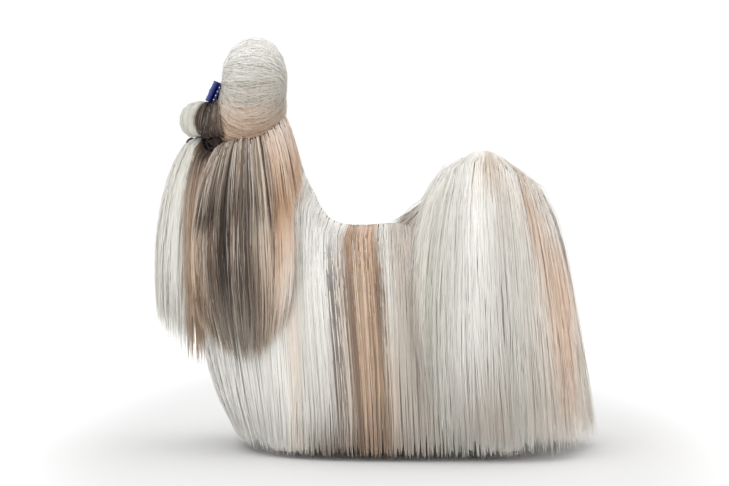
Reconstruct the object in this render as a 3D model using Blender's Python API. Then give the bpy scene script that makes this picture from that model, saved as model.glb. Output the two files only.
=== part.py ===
"""A show-coated Shih Tzu standing in profile, life size, as a still display model.

The dog faces -X, its left side is towards -Y, and it stands on Z = 0. All sizes are in metres.
Every coat surface is a Drape: a row of cubic falls, from where the hair grows to where it ends.
"""

import math

import bmesh
import bpy
import numpy as np

GAP = 0.0003                      # clearance between touching pieces
LEFT, RIGHT = -1, 1               # sign of Y on each side of the dog
SEED = 15

# Coat round the body: its parting along the neck and back, and its hem at the floor
HEM_CENTRE_X = 0.038
HEM_HALF_LENGTH = 0.193
HEM_HALF_WIDTH = 0.134
HEM_ROUNDNESS = 0.8               # 1 is an ellipse, less is squarer
HEM_HEIGHT = 0.003
HANG_HEIGHT = 0.115               # height of the lower handle of each fall
CORE_DEPTH = 0.0095               # the body's core lies this far under the coat's surface
CORE_TUCK = 0.040                 # and this much more at its lower edge, where it rounds under
CORE_END = 0.62                   # how far down each fall the core reaches
BELLY_HEIGHT = 0.140

# Each row: parting point x, y, z, hem angle in degrees, upper reach and lower bulge outwards
BODY_STATIONS = (
    (-0.170, 0.000, 0.258, 0.0, 0.042, 0.074),
    (-0.156, 0.034, 0.284, 20.0, 0.042, 0.050),
    (-0.124, 0.042, 0.320, 40.0, 0.044, 0.016),
    (-0.098, 0.014, 0.350, 50.0, 0.056, 0.000),
    (-0.072, 0.003, 0.300, 58.0, 0.078, -0.004),
    (-0.045, 0.003, 0.2625, 69.0, 0.094, -0.008),
    (0.020, 0.003, 0.2615, 86.0, 0.096, -0.010),
    (0.085, 0.003, 0.268, 100.0, 0.090, -0.012),
    (0.140, 0.004, 0.262, 126.0, 0.070, -0.020),
    (0.170, 0.000, 0.232, 180.0, 0.034, -0.030),
)

# Body nodes: the X where each begins and ends
BODY_CELLS = {"chest": (-0.400, -0.148), "neck": (-0.148, -0.046), "torso": (-0.046, 0.112),
              "rump": (0.112, 0.400)}

# Head
SKULL_CENTRE = (-0.152, 0.0, 0.348)
SKULL_RADII = (0.046, 0.044, 0.042)
SKULL_ROOM = 0.0008
MUZZLE_CENTRE = (-0.1985, 0.0, 0.3350)
MUZZLE_RADII = (0.0145, 0.0235, 0.0175)
JAW_CENTRE = (-0.1920, 0.0, 0.3130)
JAW_RADII = (0.0165, 0.0195, 0.0100)
NOSE_CENTRE = (-0.2135, 0.0, 0.3472)
NOSE_RADII = (0.0068, 0.0098, 0.0074)
NOSTRIL_RADIUS = 0.0017
EYE_CENTRE = (-0.1835, 0.0285, 0.3495)
EYE_RADIUS = 0.0100
LID_THICKNESS = 0.0019
EYE_OPENING = 0.0078
GAZE = (-0.86, 0.50, 0.03)

# Hair on the head: rows of four points, as root, two handles and tip, from front to back
EAR_STATIONS = (
    ((-0.186, 0.046, 0.338), (-0.204, 0.076, 0.322), (-0.219, 0.094, 0.220), (-0.193, 0.088, 0.134)),
    ((-0.171, 0.055, 0.341), (-0.187, 0.092, 0.314), (-0.196, 0.107, 0.200), (-0.167, 0.101, 0.109)),
    ((-0.152, 0.058, 0.343), (-0.159, 0.100, 0.308), (-0.157, 0.113, 0.190), (-0.147, 0.106, 0.102)),
    ((-0.131, 0.056, 0.343), (-0.125, 0.098, 0.310), (-0.118, 0.112, 0.190), (-0.124, 0.106, 0.113)),
    ((-0.112, 0.045, 0.347), (-0.092, 0.086, 0.318), (-0.086, 0.102, 0.215), (-0.104, 0.100, 0.145)),
)
BEARD_STATIONS = (
    ((-0.2160, 0.000, 0.3390), (-0.2400, 0.000, 0.3360), (-0.2640, 0.000, 0.250), (-0.2480, 0.000, 0.156)),
    ((-0.2130, 0.013, 0.3410), (-0.2340, 0.026, 0.3370), (-0.2570, 0.036, 0.250), (-0.2430, 0.036, 0.148)),
    ((-0.2030, 0.023, 0.3370), (-0.2200, 0.046, 0.3330), (-0.2400, 0.060, 0.250), (-0.2300, 0.058, 0.138)),
    ((-0.1910, 0.031, 0.3290), (-0.2030, 0.054, 0.3200), (-0.2140, 0.070, 0.240), (-0.2080, 0.068, 0.132)),
    ((-0.1770, 0.035, 0.3180), (-0.1850, 0.054, 0.3040), (-0.1890, 0.068, 0.230), (-0.1860, 0.066, 0.136)),
)
TOPKNOT_FRONT = (-0.1785, 0.0, 0.4030)
TOPKNOT_BACK = (-0.1065, 0.0, 0.4000)
TOPKNOT_HANDLES = (          # x of the front and back handle, y and z of both, top to bottom
    (-0.193, -0.088, 0.000, 0.4900),
    (-0.195, -0.090, 0.057, 0.4500),
    (-0.200, -0.092, 0.072, 0.3820),
    (-0.206, -0.095, 0.063, 0.3350),
    (-0.205, -0.098, 0.000, 0.3240),
)
TOPKNOT_CORE = 0.0080
TOPKNOT_TUCK = 0.020
HAIR_CORE = (0.0060, 0.0100)      # from and to this depth under the hair's surface
EAR_LEATHER = (0.0060, 0.0090)
CHIN_STATIONS = (
    ((-0.196, -0.016, 0.310), (-0.206, -0.024, 0.290), (-0.208, -0.026, 0.270), (-0.200, -0.020, 0.232)),
    ((-0.204, -0.009, 0.309), (-0.214, -0.012, 0.288), (-0.217, -0.013, 0.262), (-0.207, -0.009, 0.222)),
    ((-0.204, 0.009, 0.309), (-0.214, 0.012, 0.288), (-0.217, 0.013, 0.262), (-0.207, 0.009, 0.222)),
    ((-0.196, 0.016, 0.310), (-0.206, 0.024, 0.290), (-0.208, 0.026, 0.270), (-0.200, 0.020, 0.232)),
)
BROW_STATIONS = (
    ((-0.1950, 0.0140, 0.3620), (-0.193, 0.019, 0.3670), (-0.189, 0.025, 0.3690), (-0.1850, 0.030, 0.3680)),
    ((-0.1930, 0.0260, 0.3600), (-0.190, 0.030, 0.3620), (-0.186, 0.035, 0.3615), (-0.1820, 0.038, 0.3590)),
)
FORELOCK_ROOT = (-0.1960, 0.0, 0.3600)
FORELOCK_TOP = (-0.1880, 0.0, 0.3915)
FORELOCK_HANDLES = (         # y, then x and z of the lower and the upper handle, front to back
    (0.000, -0.2390, 0.3480, -0.2390, 0.4060),
    (0.034, -0.2290, 0.3480, -0.2270, 0.4060),
    (0.046, -0.1980, 0.3550, -0.1940, 0.3990),
)
BAND_CENTRE = (-0.1830, 0.0, 0.3975)
BAND_AXIS = (0.62, 0.0, 0.78)
BAND_RADIUS = 0.0085
BAND_THICKNESS = 0.0060
BOW_CENTRE = (-0.1935, 0.0, 0.4060)
BOW_TILT = math.radians(25)
BOW_RIBBON = 0.0225
BOW_REACH = 0.030
BOW_DEPTH = 0.0100
BOW_SHEET = 0.0009

# Tail, curled up and forward over the back, and the plume that falls from it
TAIL_PATH = ((0.140, 0.0, 0.262), (0.154, 0.0, 0.292), (0.143, 0.0, 0.318), (0.120, 0.0, 0.322),
             (0.100, 0.0, 0.308))
TAIL_RADII = (0.0130, 0.0115, 0.0100, 0.0085, 0.0060)
PLUME_STATIONS = (
    ((0.100, 0.004, 0.316), (0.060, 0.024, 0.312), (0.026, 0.100, 0.240), (0.048, 0.142, 0.090)),
    ((0.120, 0.005, 0.331), (0.108, 0.062, 0.335), (0.112, 0.146, 0.190), (0.124, 0.143, 0.006)),
    ((0.136, 0.005, 0.329), (0.152, 0.062, 0.331), (0.160, 0.140, 0.180), (0.170, 0.134, 0.004)),
    ((0.148, 0.004, 0.316), (0.190, 0.046, 0.318), (0.204, 0.110, 0.160), (0.218, 0.104, 0.004)),
    ((0.154, 0.000, 0.300), (0.218, 0.000, 0.306), (0.228, 0.000, 0.140), (0.258, 0.000, 0.004)),
)

# Locks: where their rings lie, how much of its pitch a lock fills, and the two layers they lie in
LOCK_RINGS = (0, 0.12, 0.30, 0.50, 0.70, 0.87, 1)
SLIMMED = ("chest", "neck", "torso", "rump", "ear", "moustache", "topknot", "forelock", "plume", "leg")
SLIM_SHARE = 0.435                 # the share of its triangles that a slimmed node keeps
SHORT_RINGS = (0, 0.14, 0.45, 0.75, 1)
LOCK_FILL = 0.86
LOCK_THICKNESS = 0.0026
LAYER_DEPTHS = {"under": 0.0064, "over": 0.0030}
ROOT_SINK = 0.0035
TIP_SHARE = 0.26
ROOT_WIDTH = 0.50
LOCK_SHAPES = (              # width factor past the root, in the middle and near the tip
    (0.92, 1.00, 0.98),
    (0.86, 0.94, 1.04),
    (0.96, 1.00, 0.86),
    (0.86, 0.92, 0.94),
)

# Coat of each body node: share round the drape where it begins and ends, and locks in a layer
BODY_LOCKS = {"chest": (-0.070, 0.070, 7), "neck": (0.080, 0.2775, 7), "torso": (0.2785, 0.4105, 8),
              "rump": (0.4130, 0.4985, 7)}
PLUME_LOCKS = 10
EAR_LOCKS = 7
BEARD_LOCKS = 13
CHIN_LOCKS = 4
TOPKNOT_LOCKS = 12
FORELOCK_LOCKS = 6
LEG_LOCKS = 6

# Legs: centre line points with a radius each, for the left or the right by the sign of Y
FRONT_LEG = ((-0.092, 0.052, 0.1500, 0.0250), (-0.090, 0.052, 0.0900, 0.0195),
             (-0.092, 0.052, 0.0200, 0.0160))
HIND_LEG = ((0.142, 0.050, 0.1500, 0.0260), (0.136, 0.052, 0.0950, 0.0235), (0.158, 0.053, 0.0560, 0.0165),
            (0.152, 0.053, 0.0200, 0.0155))
PAW_LENGTH = 0.046
PAW_WIDTH = 0.039
PAW_FORWARD = 0.008
ANKLE_HEIGHT = 0.0215
PAW_RINGS = ((0.0, 0.90, 0.0), (0.0045, 1.0, 0.0), (0.0120, 0.95, 0.001), (0.0175, 0.82, 0.004),
             (ANKLE_HEIGHT, 0.70, 0.008))
PAW_POINTS = 28
TOE_SPREAD = math.radians(80)
TOE_DEPTH = 0.12

# Which node is cut clear of which neighbours
CLEARANCES = (("moustache", ("nose", "muzzle")), ("hair_band", ("bow_knot",)), ("topknot", ("head", "hair_band")),
              ("plume_left", ("tail",)), ("plume_right", ("tail",)))
SKULL_NEIGHBOURS = ("neck_left", "neck_right", "topknot", "forelock")

COLOURS = {
    "coat_white": (0.86, 0.84, 0.80), "coat_dark": (0.12, 0.09, 0.07), "coat_gold": (0.62, 0.43, 0.28),
    "skin": (0.70, 0.60, 0.52), "nose": (0.01, 0.01, 0.01), "eye": (0.02, 0.01, 0.01),
    "ribbon": (0.05, 0.07, 0.35), "band": (0.03, 0.03, 0.10),
}


def vec(values):
    """The values as an array of numbers."""
    return np.array(values, float)


def unit(vector):
    """The vector, or each row of vectors, at length one."""
    return vector / np.maximum(np.linalg.norm(vector, axis=-1, keepdims=True), 1e-9)


def sided(points, side):
    """The points with Y turned to the given side of the dog."""
    return vec(points) * (1, side, 1)


def bezier(rows, v):
    """Point at share v along a cubic with four control rows."""
    a, b, c, d = rows
    return (1 - v) ** 3 * a + 3 * (1 - v) ** 2 * v * b + 3 * (1 - v) * v ** 2 * c + v ** 3 * d


def spline(keys, t, closed=False):
    """Value at t, from 0 to 1, on a smooth curve through the keys."""
    count = len(keys)
    x = (t % 1.0) * count if closed else min(max(t, 0.0), 1.0) * (count - 1)
    i = int(x) if closed else min(int(x), count - 2)
    f = x - i
    near = [(i + k) % count if closed else min(max(i + k, 0), count - 1) for k in (-1, 0, 1, 2)]
    a, b, c, d = (keys[k] for k in near)
    return 0.5 * (2 * b + (c - a) * f + (2 * a - 5 * b + 4 * c - d) * f ** 2
                  + (3 * (b - c) + d - a) * f ** 3)


class Drape:
    """A surface of hair: stations of four control points, joined smoothly side by side."""

    def __init__(self, stations, closed=False, hand=1):
        self.stations = vec(stations)
        self.closed = closed
        self.hand = hand

    def point(self, t, v):
        return bezier(spline(self.stations, t, self.closed), v)

    def frame(self, t, v):
        """The point at (t, v), with the directions across, along and out of the surface."""
        step = 1e-3
        here = self.point(t, v)
        low, high = (t - step, t + step) if self.closed else (max(t - step, 0), min(t + step, 1))
        across = unit(self.point(high, v) - self.point(low, v))
        along = unit(self.point(t, min(v + step, 1)) - self.point(t, max(v - step, 0)))
        out = unit(np.cross(across, along)) * self.hand
        return here, np.cross(along, out) * self.hand, along, out

    def inside(self, t, v, depth):
        """The point at (t, v), moved under the surface by depth."""
        here, _, _, out = self.frame(t, v)
        return here - out * depth


def body_drape():
    """The coat that hangs from the parting to the floor, once round the body from the chest."""
    rows = []
    for x, y, z, angle, reach, bulge in BODY_STATIONS:
        cos, sin = math.cos(math.radians(angle)), math.sin(math.radians(angle))
        hem = vec((HEM_CENTRE_X - HEM_HALF_LENGTH * math.copysign(abs(cos) ** HEM_ROUNDNESS, cos),
                   HEM_HALF_WIDTH * abs(sin) ** HEM_ROUNDNESS, HEM_HEIGHT))
        out = unit(vec((-cos / HEM_HALF_LENGTH, sin / HEM_HALF_WIDTH, 0)))
        root = vec((x, y, z))
        rows.append((root, root + out * reach, hem + out * bulge + (0, 0, HANG_HEIGHT), hem))
    left = [sided(row, LEFT) for row in rows]
    right = [sided(row, RIGHT) for row in rows[-2:0:-1]]
    return Drape(left + right, closed=True, hand=-1)


def mirrored_drape(stations, hand=1):
    """A Drape across the mid-plane, from rows that start there: right side, middle, left side."""
    right = [sided(row, RIGHT) for row in stations[:0:-1]]
    left = [sided(row, LEFT) for row in stations]
    return Drape(right + left, hand=hand)


def topknot_drape():
    """The bulb of the topknot, whose hair runs back from the band, all the way round."""
    rows = [(TOPKNOT_FRONT, (front_x, y, z), (back_x, y, z), TOPKNOT_BACK)
            for front_x, back_x, y, z in TOPKNOT_HANDLES]
    left = [sided(row, LEFT) for row in rows]
    right = [sided(row, RIGHT) for row in rows[-2:0:-1]]
    return Drape(left + right, closed=True, hand=1)


def forelock_drape():
    """The bulb over the forehead, whose hair runs from the brow up to the band."""
    rows = []
    for y, low_x, low_z, high_x, high_z in FORELOCK_HANDLES:
        root = vec(FORELOCK_ROOT) + (0, y * 0.55, 0)
        top = vec(FORELOCK_TOP) + (0, y * 0.10, 0)
        rows.append((root, (low_x, y, low_z), (high_x, y, high_z), top))
    return mirrored_drape(rows)


def material(name):
    """The plain material of that name."""
    found = bpy.data.materials.get(name)
    if found:
        return found
    made = bpy.data.materials.new(name)
    made.use_nodes = True
    shader = made.node_tree.nodes["Principled BSDF"]
    shader.inputs["Base Color"].default_value = (*COLOURS[name], 1)
    shader.inputs["Roughness"].default_value = 0.25 if name in ("eye", "nose") else 0.6
    shader.inputs["Metallic"].default_value = 0.0
    return made


def make(name, points, faces, look="coat_white"):
    """A mesh object with faces pointing out."""
    mesh = bpy.data.meshes.new(name)
    mesh.from_pydata([tuple(p) for p in points], [], faces)
    build = bmesh.new()
    build.from_mesh(mesh)
    bmesh.ops.remove_doubles(build, verts=build.verts, dist=1e-6)
    bmesh.ops.dissolve_degenerate(build, edges=build.edges, dist=1e-6)
    bmesh.ops.recalc_face_normals(build, faces=build.faces)
    if build.calc_volume(signed=True) < 0:
        bmesh.ops.reverse_faces(build, faces=build.faces)
    bmesh.ops.triangulate(build, faces=build.faces)
    build.to_mesh(mesh)
    build.free()
    made = bpy.data.objects.new(name, mesh)
    bpy.context.scene.collection.objects.link(made)
    made.data.materials.append(material(look))
    return made


def loft(name, rings, look="coat_white"):
    """A closed solid through rings of equal point count, capped by a point at each end."""
    count = len(rings[0])
    points = [p for ring in rings for p in ring]
    faces = []
    for r in range(len(rings) - 1):
        for k in range(count):
            n = (k + 1) % count
            faces.append((r * count + k, r * count + n, (r + 1) * count + n, (r + 1) * count + k))
    for start, ring in ((0, rings[0]), ((len(rings) - 1) * count, rings[-1])):
        points.append(np.mean(ring, axis=0))
        tip = len(points) - 1
        faces += [(start + k, start + (k + 1) % count, tip) for k in range(count)]
    return make(name, points, faces, look)


def ellipsoid(name, centre, radii, look="skin", around=12, rings=8, squareness=1.0):
    """A closed ellipsoid with its poles along Z; squareness under 1 fills its corners."""
    rows = []
    for r in range(1, rings):
        tall = math.pi * r / rings
        row = []
        for k in range(around):
            turn = math.tau * k / around
            way = vec((math.cos(turn) * math.sin(tall), math.sin(turn) * math.sin(tall), math.cos(tall)))
            row.append(vec(centre) + np.sign(way) * np.abs(way) ** squareness * radii)
        rows.append(row)
    solid = loft(name, rows, look)
    for tip, sign in ((-2, 1), (-1, -1)):
        pole = vec(centre) + (0, 0, sign * radii[2])
        nearest = min(solid.data.vertices, key=lambda p: np.linalg.norm(vec(p.co) - pole))
        nearest.co = pole
    return solid


def tube(name, centres, radii, sides=10, look="skin"):
    """A round tube through the centres, with a radius at each."""
    centres = vec(centres)
    rings = []
    for k, (centre, radius) in enumerate(zip(centres, radii)):
        way = unit(centres[min(k + 1, len(centres) - 1)] - centres[max(k - 1, 0)])
        side = unit(np.cross(way, (0, 1, 0) if abs(way[1]) < 0.9 else (1, 0, 0)))
        other = np.cross(way, side)
        turns = [math.tau * n / sides for n in range(sides)]
        rings.append([centre + radius * (side * math.cos(a) + other * math.sin(a)) for a in turns])
    return loft(name, rings, look)


def box(name, low, high):
    """A plain box between two corners."""
    low, high = vec(low), vec(high)
    corners = [(x, y, z) for x in (low[0], high[0]) for y in (low[1], high[1]) for z in (low[2], high[2])]
    faces = [(0, 1, 3, 2), (4, 6, 7, 5), (0, 4, 5, 1), (2, 3, 7, 6), (0, 2, 6, 4), (1, 5, 7, 3)]
    return make(name, corners, faces)


def keep_largest(node):
    """Leaves the largest closed surface of a node, which drops scraps and sealed hollows."""
    build = bmesh.new()
    build.from_mesh(node.data)
    left = set(build.faces)
    groups = []
    while left:
        group, edge = set(), [left.pop()]
        while edge:
            face = edge.pop()
            group.add(face)
            for side in face.edges:
                for other in side.link_faces:
                    if other in left:
                        left.discard(other)
                        edge.append(other)
        groups.append(group)
    largest = max(groups, key=lambda g: sum(f.calc_area() for f in g))
    bmesh.ops.delete(build, geom=[f for g in groups if g is not largest for f in g], context="FACES")
    bmesh.ops.triangulate(build, faces=build.faces)
    build.to_mesh(node.data)
    build.free()


def combine(node, pieces, operation, solver="MANIFOLD"):
    """Joins or cuts the node with all the pieces in one Boolean, then removes them."""
    group = bpy.data.collections.new("pieces")
    for piece in pieces:
        group.objects.link(piece)
    step = node.modifiers.new("combine", "BOOLEAN")
    step.operation = operation
    step.operand_type = "COLLECTION"
    step.collection = group
    step.solver = solver
    graph = bpy.context.evaluated_depsgraph_get()
    done = bpy.data.meshes.new_from_object(node.evaluated_get(graph))
    node.modifiers.clear()
    node.data = done
    for piece in pieces:
        bpy.data.objects.remove(piece)
    bpy.data.collections.remove(group)
    keep_largest(node)
    return node


def swollen(solid, by=GAP):
    """A copy of the solid with its surface moved out, to cut a neighbour clear of it."""
    mesh = solid.data.copy()
    normals = [tuple(v.normal) for v in mesh.vertices]
    for vertex, normal in zip(mesh.vertices, normals):
        vertex.co = vec(vertex.co) + vec(normal) * by
    made = bpy.data.objects.new("swollen", mesh)
    bpy.context.scene.collection.objects.link(made)
    return made


def clear(node, *others, by=GAP):
    """Cuts the node clear of the other solids by the gap."""
    return combine(node, [swollen(other, by) for other in others], "DIFFERENCE")


def cell(source, name, low, high, look="coat_white"):
    """The part of the source solid that lies between two corners, as a node."""
    node = bpy.data.objects.new(name, source.data.copy())
    bpy.context.scene.collection.objects.link(node)
    return combine(node, [box("cell", low, high)], "INTERSECT")


def disc(name, t_count, rings, look="coat_white"):
    """A closed solid from whole mirrored rings, capped across the mid-plane at both ends."""
    points = [p for ring in rings for p in ring]
    faces = []
    for r in range(len(rings) - 1):
        for k in range(t_count):
            n = (k + 1) % t_count
            faces.append((r * t_count + k, r * t_count + n, (r + 1) * t_count + n, (r + 1) * t_count + k))
    for start in (0, (len(rings) - 1) * t_count):
        for k in range(t_count // 2):
            left, right = (k, k + 1), (t_count - k, t_count - k - 1)
            corners = [start + c % t_count for c in (left[0], left[1], right[1], right[0])]
            faces.append(tuple(dict.fromkeys(corners)))
    return make(name, points, [f for f in faces if len(f) > 2], look)


def body_solid(drape, depths, around=36):
    """The solid under the body's coat, down through the given (share, depth) rings."""
    rings = [[drape.inside(k / around, v, depth) for k in range(around)] for v, depth in depths]
    return disc("body", around, rings)


def core_rings():
    """Rings of the body's core, which rounds under at its lower edge."""
    shares = np.linspace(0, CORE_END, 8)
    return [(v, CORE_DEPTH + CORE_TUCK * (v / CORE_END) ** 3) for v in shares]


def shell(name, drape, starts, ends, depths, across=12, down=10, look="coat_white"):
    """A plain closed shell of a drape between shares starts and ends, thick from depth to depth."""
    outer, inner = depths
    points = []
    for k in range(across + 1):
        t = starts[0] + (ends[0] - starts[0]) * k / across
        shares = [starts[1] + (ends[1] - starts[1]) * r / down for r in range(down + 1)]
        points += [drape.inside(t, v, outer) for v in shares]
        points += [drape.inside(t, v, inner) for v in reversed(shares)]
    count = 2 * (down + 1)
    faces = []
    for k in range(across):
        for r in range(count):
            n = (r + 1) % count
            faces.append((k * count + r, k * count + n, (k + 1) * count + n, (k + 1) * count + r))
    for start in (0, across * count):
        for r in range(down):
            faces.append((start + r, start + r + 1, start + count - 2 - r, start + count - 1 - r))
    return make(name, points, faces, look)


def half(side, low, high):
    """Corners of a box on one side of the mid-plane between two corners given for the right."""
    if side == LEFT:
        return (low[0], -high[1], low[2]), (high[0], -low[1], high[2])
    return low, high


def body_nodes(chance):
    """Chest, neck, torso and rump, split on the mid-plane behind the chest."""
    drape = body_drape()
    core = body_solid(drape, core_rings())
    combine(core, [box("belly", (-1, -1, BELLY_HEIGHT), (1, 1, 1))], "INTERSECT")
    nodes = {}
    for part, (low_x, high_x) in BODY_CELLS.items():
        for side in ((0,) if part == "chest" else (LEFT, RIGHT)):
            name = {0: part, LEFT: part + "_left", RIGHT: part + "_right"}[side]
            low, high = (low_x + GAP / 2, GAP / 2, 0), (high_x - GAP / 2, 1, 1)
            corners = half(side, low, high) if side else ((low_x, -1, 0), (high_x - GAP / 2, 1, 1))
            node = cell(core, name, *corners)
            begin, end, count = BODY_LOCKS[part]
            if side == RIGHT:
                begin, end = 1 - end, 1 - begin
            pieces = layered_locks(drape, (begin, end), (0.035, 1.0), count, CORE_DEPTH, chance)
            combine(node, pieces, "UNION")
            combine(node, [box("cell", *corners)], "INTERSECT")
            nodes[name] = node
    bpy.data.objects.remove(core)
    return nodes


def lock(drape, t, span, pitch, depth, root_depth, thickness, shape, sway, kick, shares):
    """One flat tapered lock that lies along the drape from a root sunk in the core to its tip."""
    rings = []
    for s in shares:
        v = span[0] + (span[1] - span[0]) * s
        place = t + pitch * sway[0] * math.sin(math.pi * (1.4 * s + sway[1])) * s
        here, across, _, out = drape.frame(place, v)
        near = max(0.0, 1 - s / 0.20)
        under = depth + (root_depth - depth) * near ** 1.5 + kick * s * s
        spread = np.linalg.norm(drape.point(place + pitch / 2, v) - drape.point(place - pitch / 2, v))
        profile = np.interp(s, (0, 0.12, 0.30, 0.50, 0.87, 1), (ROOT_WIDTH, ROOT_WIDTH, *shape, TIP_SHARE))
        width = min(spread, 0.045) * LOCK_FILL * profile
        high = thickness * np.interp(s, (0, 0.7, 1), (1, 1, 0.35))
        base = here - out * under
        rings.append([base - across * width / 2, base + out * high, base + across * width / 2])
    return loft("lock", rings)


def layered_locks(drape, reach, span, count, core_depth, chance, shares=LOCK_RINGS, thin=1.0):
    """Two overlapping layers of locks between two shares round the drape."""
    pitch = (reach[1] - reach[0]) / count
    pieces = []
    under = [k + 0.5 for k in range(count)]
    over = [0.27] + list(range(1, count)) + [count - 0.27]
    for layer, places in (("under", under), ("over", over)):
        for k in places:
            edge = k != int(k) and layer == "over"
            t = reach[0] + pitch * k
            shape = LOCK_SHAPES[chance.integers(len(LOCK_SHAPES))]
            short = chance.uniform(0.0, 0.03) if layer == "under" else chance.uniform(0.0, 0.11)
            ends = (span[0] + chance.uniform(0, 0.02), span[1] - short * (span[1] - span[0]))
            kick = chance.uniform(0.0, 0.002) * (1 if layer == "under" else -1)
            sway = (0.0 if edge else 0.16 * math.sin(17 * t), chance.uniform(-0.1, 0.1))
            pieces.append(lock(drape, t, ends, pitch * (0.5 if edge else 1), LAYER_DEPTHS[layer] * thin,
                               core_depth + ROOT_SINK * thin, LOCK_THICKNESS * thin, shape, sway, kick * thin,
                               shares))
    return pieces


def cylinder(name, centre, way, radius, length, sides=16):
    """A straight cylinder from the centre along the way."""
    centre, way = vec(centre), unit(vec(way))
    return tube(name, [centre, centre + way * length], [radius, radius], sides)


def face_nodes(chance):
    """Head, muzzle, jaw, nose and eyes."""
    head = ellipsoid("head", SKULL_CENTRE, SKULL_RADII, around=18, rings=10)
    nose = ellipsoid("nose", NOSE_CENTRE, NOSE_RADII, "nose", around=14, rings=8, squareness=0.9)
    muzzle = ellipsoid("muzzle", MUZZLE_CENTRE, MUZZLE_RADII)
    jaw = ellipsoid("jaw", JAW_CENTRE, JAW_RADII)
    nodes = {"head": head, "nose": nose, "muzzle": muzzle, "jaw": jaw}
    lids, cuts = [], []
    for side, name in ((LEFT, "eye_left"), (RIGHT, "eye_right")):
        centre, gaze = sided(EYE_CENTRE, side), sided(GAZE, side)
        nodes[name] = ellipsoid(name, centre, (EYE_RADIUS,) * 3, "eye", 14, 8)
        lids.append(ellipsoid("lid", centre, (EYE_RADIUS + LID_THICKNESS,) * 3, "skin", 12, 8))
        cuts.append(ellipsoid("socket", centre, (EYE_RADIUS + GAP * 2,) * 3, "skin", 12, 8))
        cuts.append(cylinder("opening", centre, gaze, EYE_OPENING, 0.03, 12))
    combine(head, lids + head_locks(chance), "UNION")
    combine(head, cuts, "DIFFERENCE")
    holes = [cylinder("nostril", sided((-0.2225, 0.0042, 0.3462), side), (1, 0.0, 0.05), NOSTRIL_RADIUS, 0.006, 10)
             for side in (LEFT, RIGHT)]
    combine(nose, holes, "DIFFERENCE")
    clear(muzzle, head, nose)
    chin = Drape(CHIN_STATIONS)
    pieces = layered_locks(chin, (0.06, 0.94), (0.0, 1.0), CHIN_LOCKS, 0.004, chance, SHORT_RINGS, 0.5)
    combine(jaw, pieces, "UNION")
    clear(jaw, muzzle, head)
    return nodes


def head_locks(chance):
    """Short locks on the brow, where the long hair leaves the skull bare."""
    pieces = []
    for side in (LEFT, RIGHT):
        drape = Drape([sided(row, side) for row in BROW_STATIONS], hand=-side)
        pieces += layered_locks(drape, (0.04, 0.96), (0.02, 1.0), 2, 0.0, chance, (0, 0.35, 0.7, 1), 0.45)
    return pieces


def ear_nodes(chance):
    """Both ears: a leather cup under a long fringe."""
    nodes = {}
    for side, name in ((LEFT, "ear_left"), (RIGHT, "ear_right")):
        drape = Drape([sided(row, side) for row in EAR_STATIONS], hand=side)
        ear = shell(name, drape, (0, 0.0), (1, 0.32), EAR_LEATHER, 10, 6, "coat_dark")
        pieces = layered_locks(drape, (0.02, 0.98), (0.02, 1.0), EAR_LOCKS, EAR_LEATHER[0], chance, thin=0.8)
        nodes[name] = combine(ear, pieces, "UNION")
    return nodes


def hair_nodes(chance):
    """Moustache and beard, forelock and topknot."""
    beard = mirrored_drape(BEARD_STATIONS, -1)
    moustache = shell("moustache", beard, (0, 0.0), (1, 0.30), HAIR_CORE, 14, 4)
    combine(moustache, layered_locks(beard, (0.01, 0.99), (0.02, 1.0), BEARD_LOCKS, HAIR_CORE[0], chance,
                                     thin=0.8), "UNION")
    topknot = bulb("topknot", topknot_drape())
    combine(topknot, layered_locks(topknot_drape(), (-0.385, 0.385), (0.05, 0.93), TOPKNOT_LOCKS,
                                   TOPKNOT_CORE, chance, thin=0.9), "UNION")
    forelock = shell("forelock", forelock_drape(), (0, 0.04), (1, 0.90), HAIR_CORE, 8, 6)
    combine(forelock, layered_locks(forelock_drape(), (0.02, 0.98), (0.06, 1.0), FORELOCK_LOCKS,
                                    HAIR_CORE[0], chance, SHORT_RINGS, 0.7), "UNION")
    return {"moustache": moustache, "topknot": topknot, "forelock": forelock}


def bulb(name, drape, around=18, along=9):
    """The topknot's core: its drape sunk under the locks, more so towards the back."""
    rings = []
    for v in np.linspace(0.04, 0.90, along):
        depth = TOPKNOT_CORE + TOPKNOT_TUCK * max(0.0, v - 0.5)
        rings.append([drape.inside(k / around, v, depth) for k in range(around)])
    return loft(name, rings)


def bow_frame():
    """The bow's directions: along the ribbon's width, and out of its face."""
    up = vec((math.sin(BOW_TILT), 0, math.cos(BOW_TILT)))
    return up, vec((-math.cos(BOW_TILT), 0, math.sin(BOW_TILT)))


def ribbon(name, outline, centre, up, out, width, sheet):
    """A closed loop of ribbon: an outline of (y, depth) points, swept by its width."""
    outline = vec(outline)
    middle = outline.mean(axis=0)
    inner = outline + unit(middle - outline) * sheet
    rows = []
    for shape, lift in ((outline, -0.5), (outline, 0.5), (inner, 0.5), (inner, -0.5)):
        rows.append([vec(centre) + (0, y, 0) + out * d + up * lift * width for y, d in shape])
    count = len(outline)
    points = [p for row in rows for p in row]
    faces = []
    for r in range(4):
        m = (r + 1) % 4
        for k in range(count):
            n = (k + 1) % count
            faces.append((r * count + k, r * count + n, m * count + n, m * count + k))
    return make(name, points, faces, "ribbon")


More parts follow.
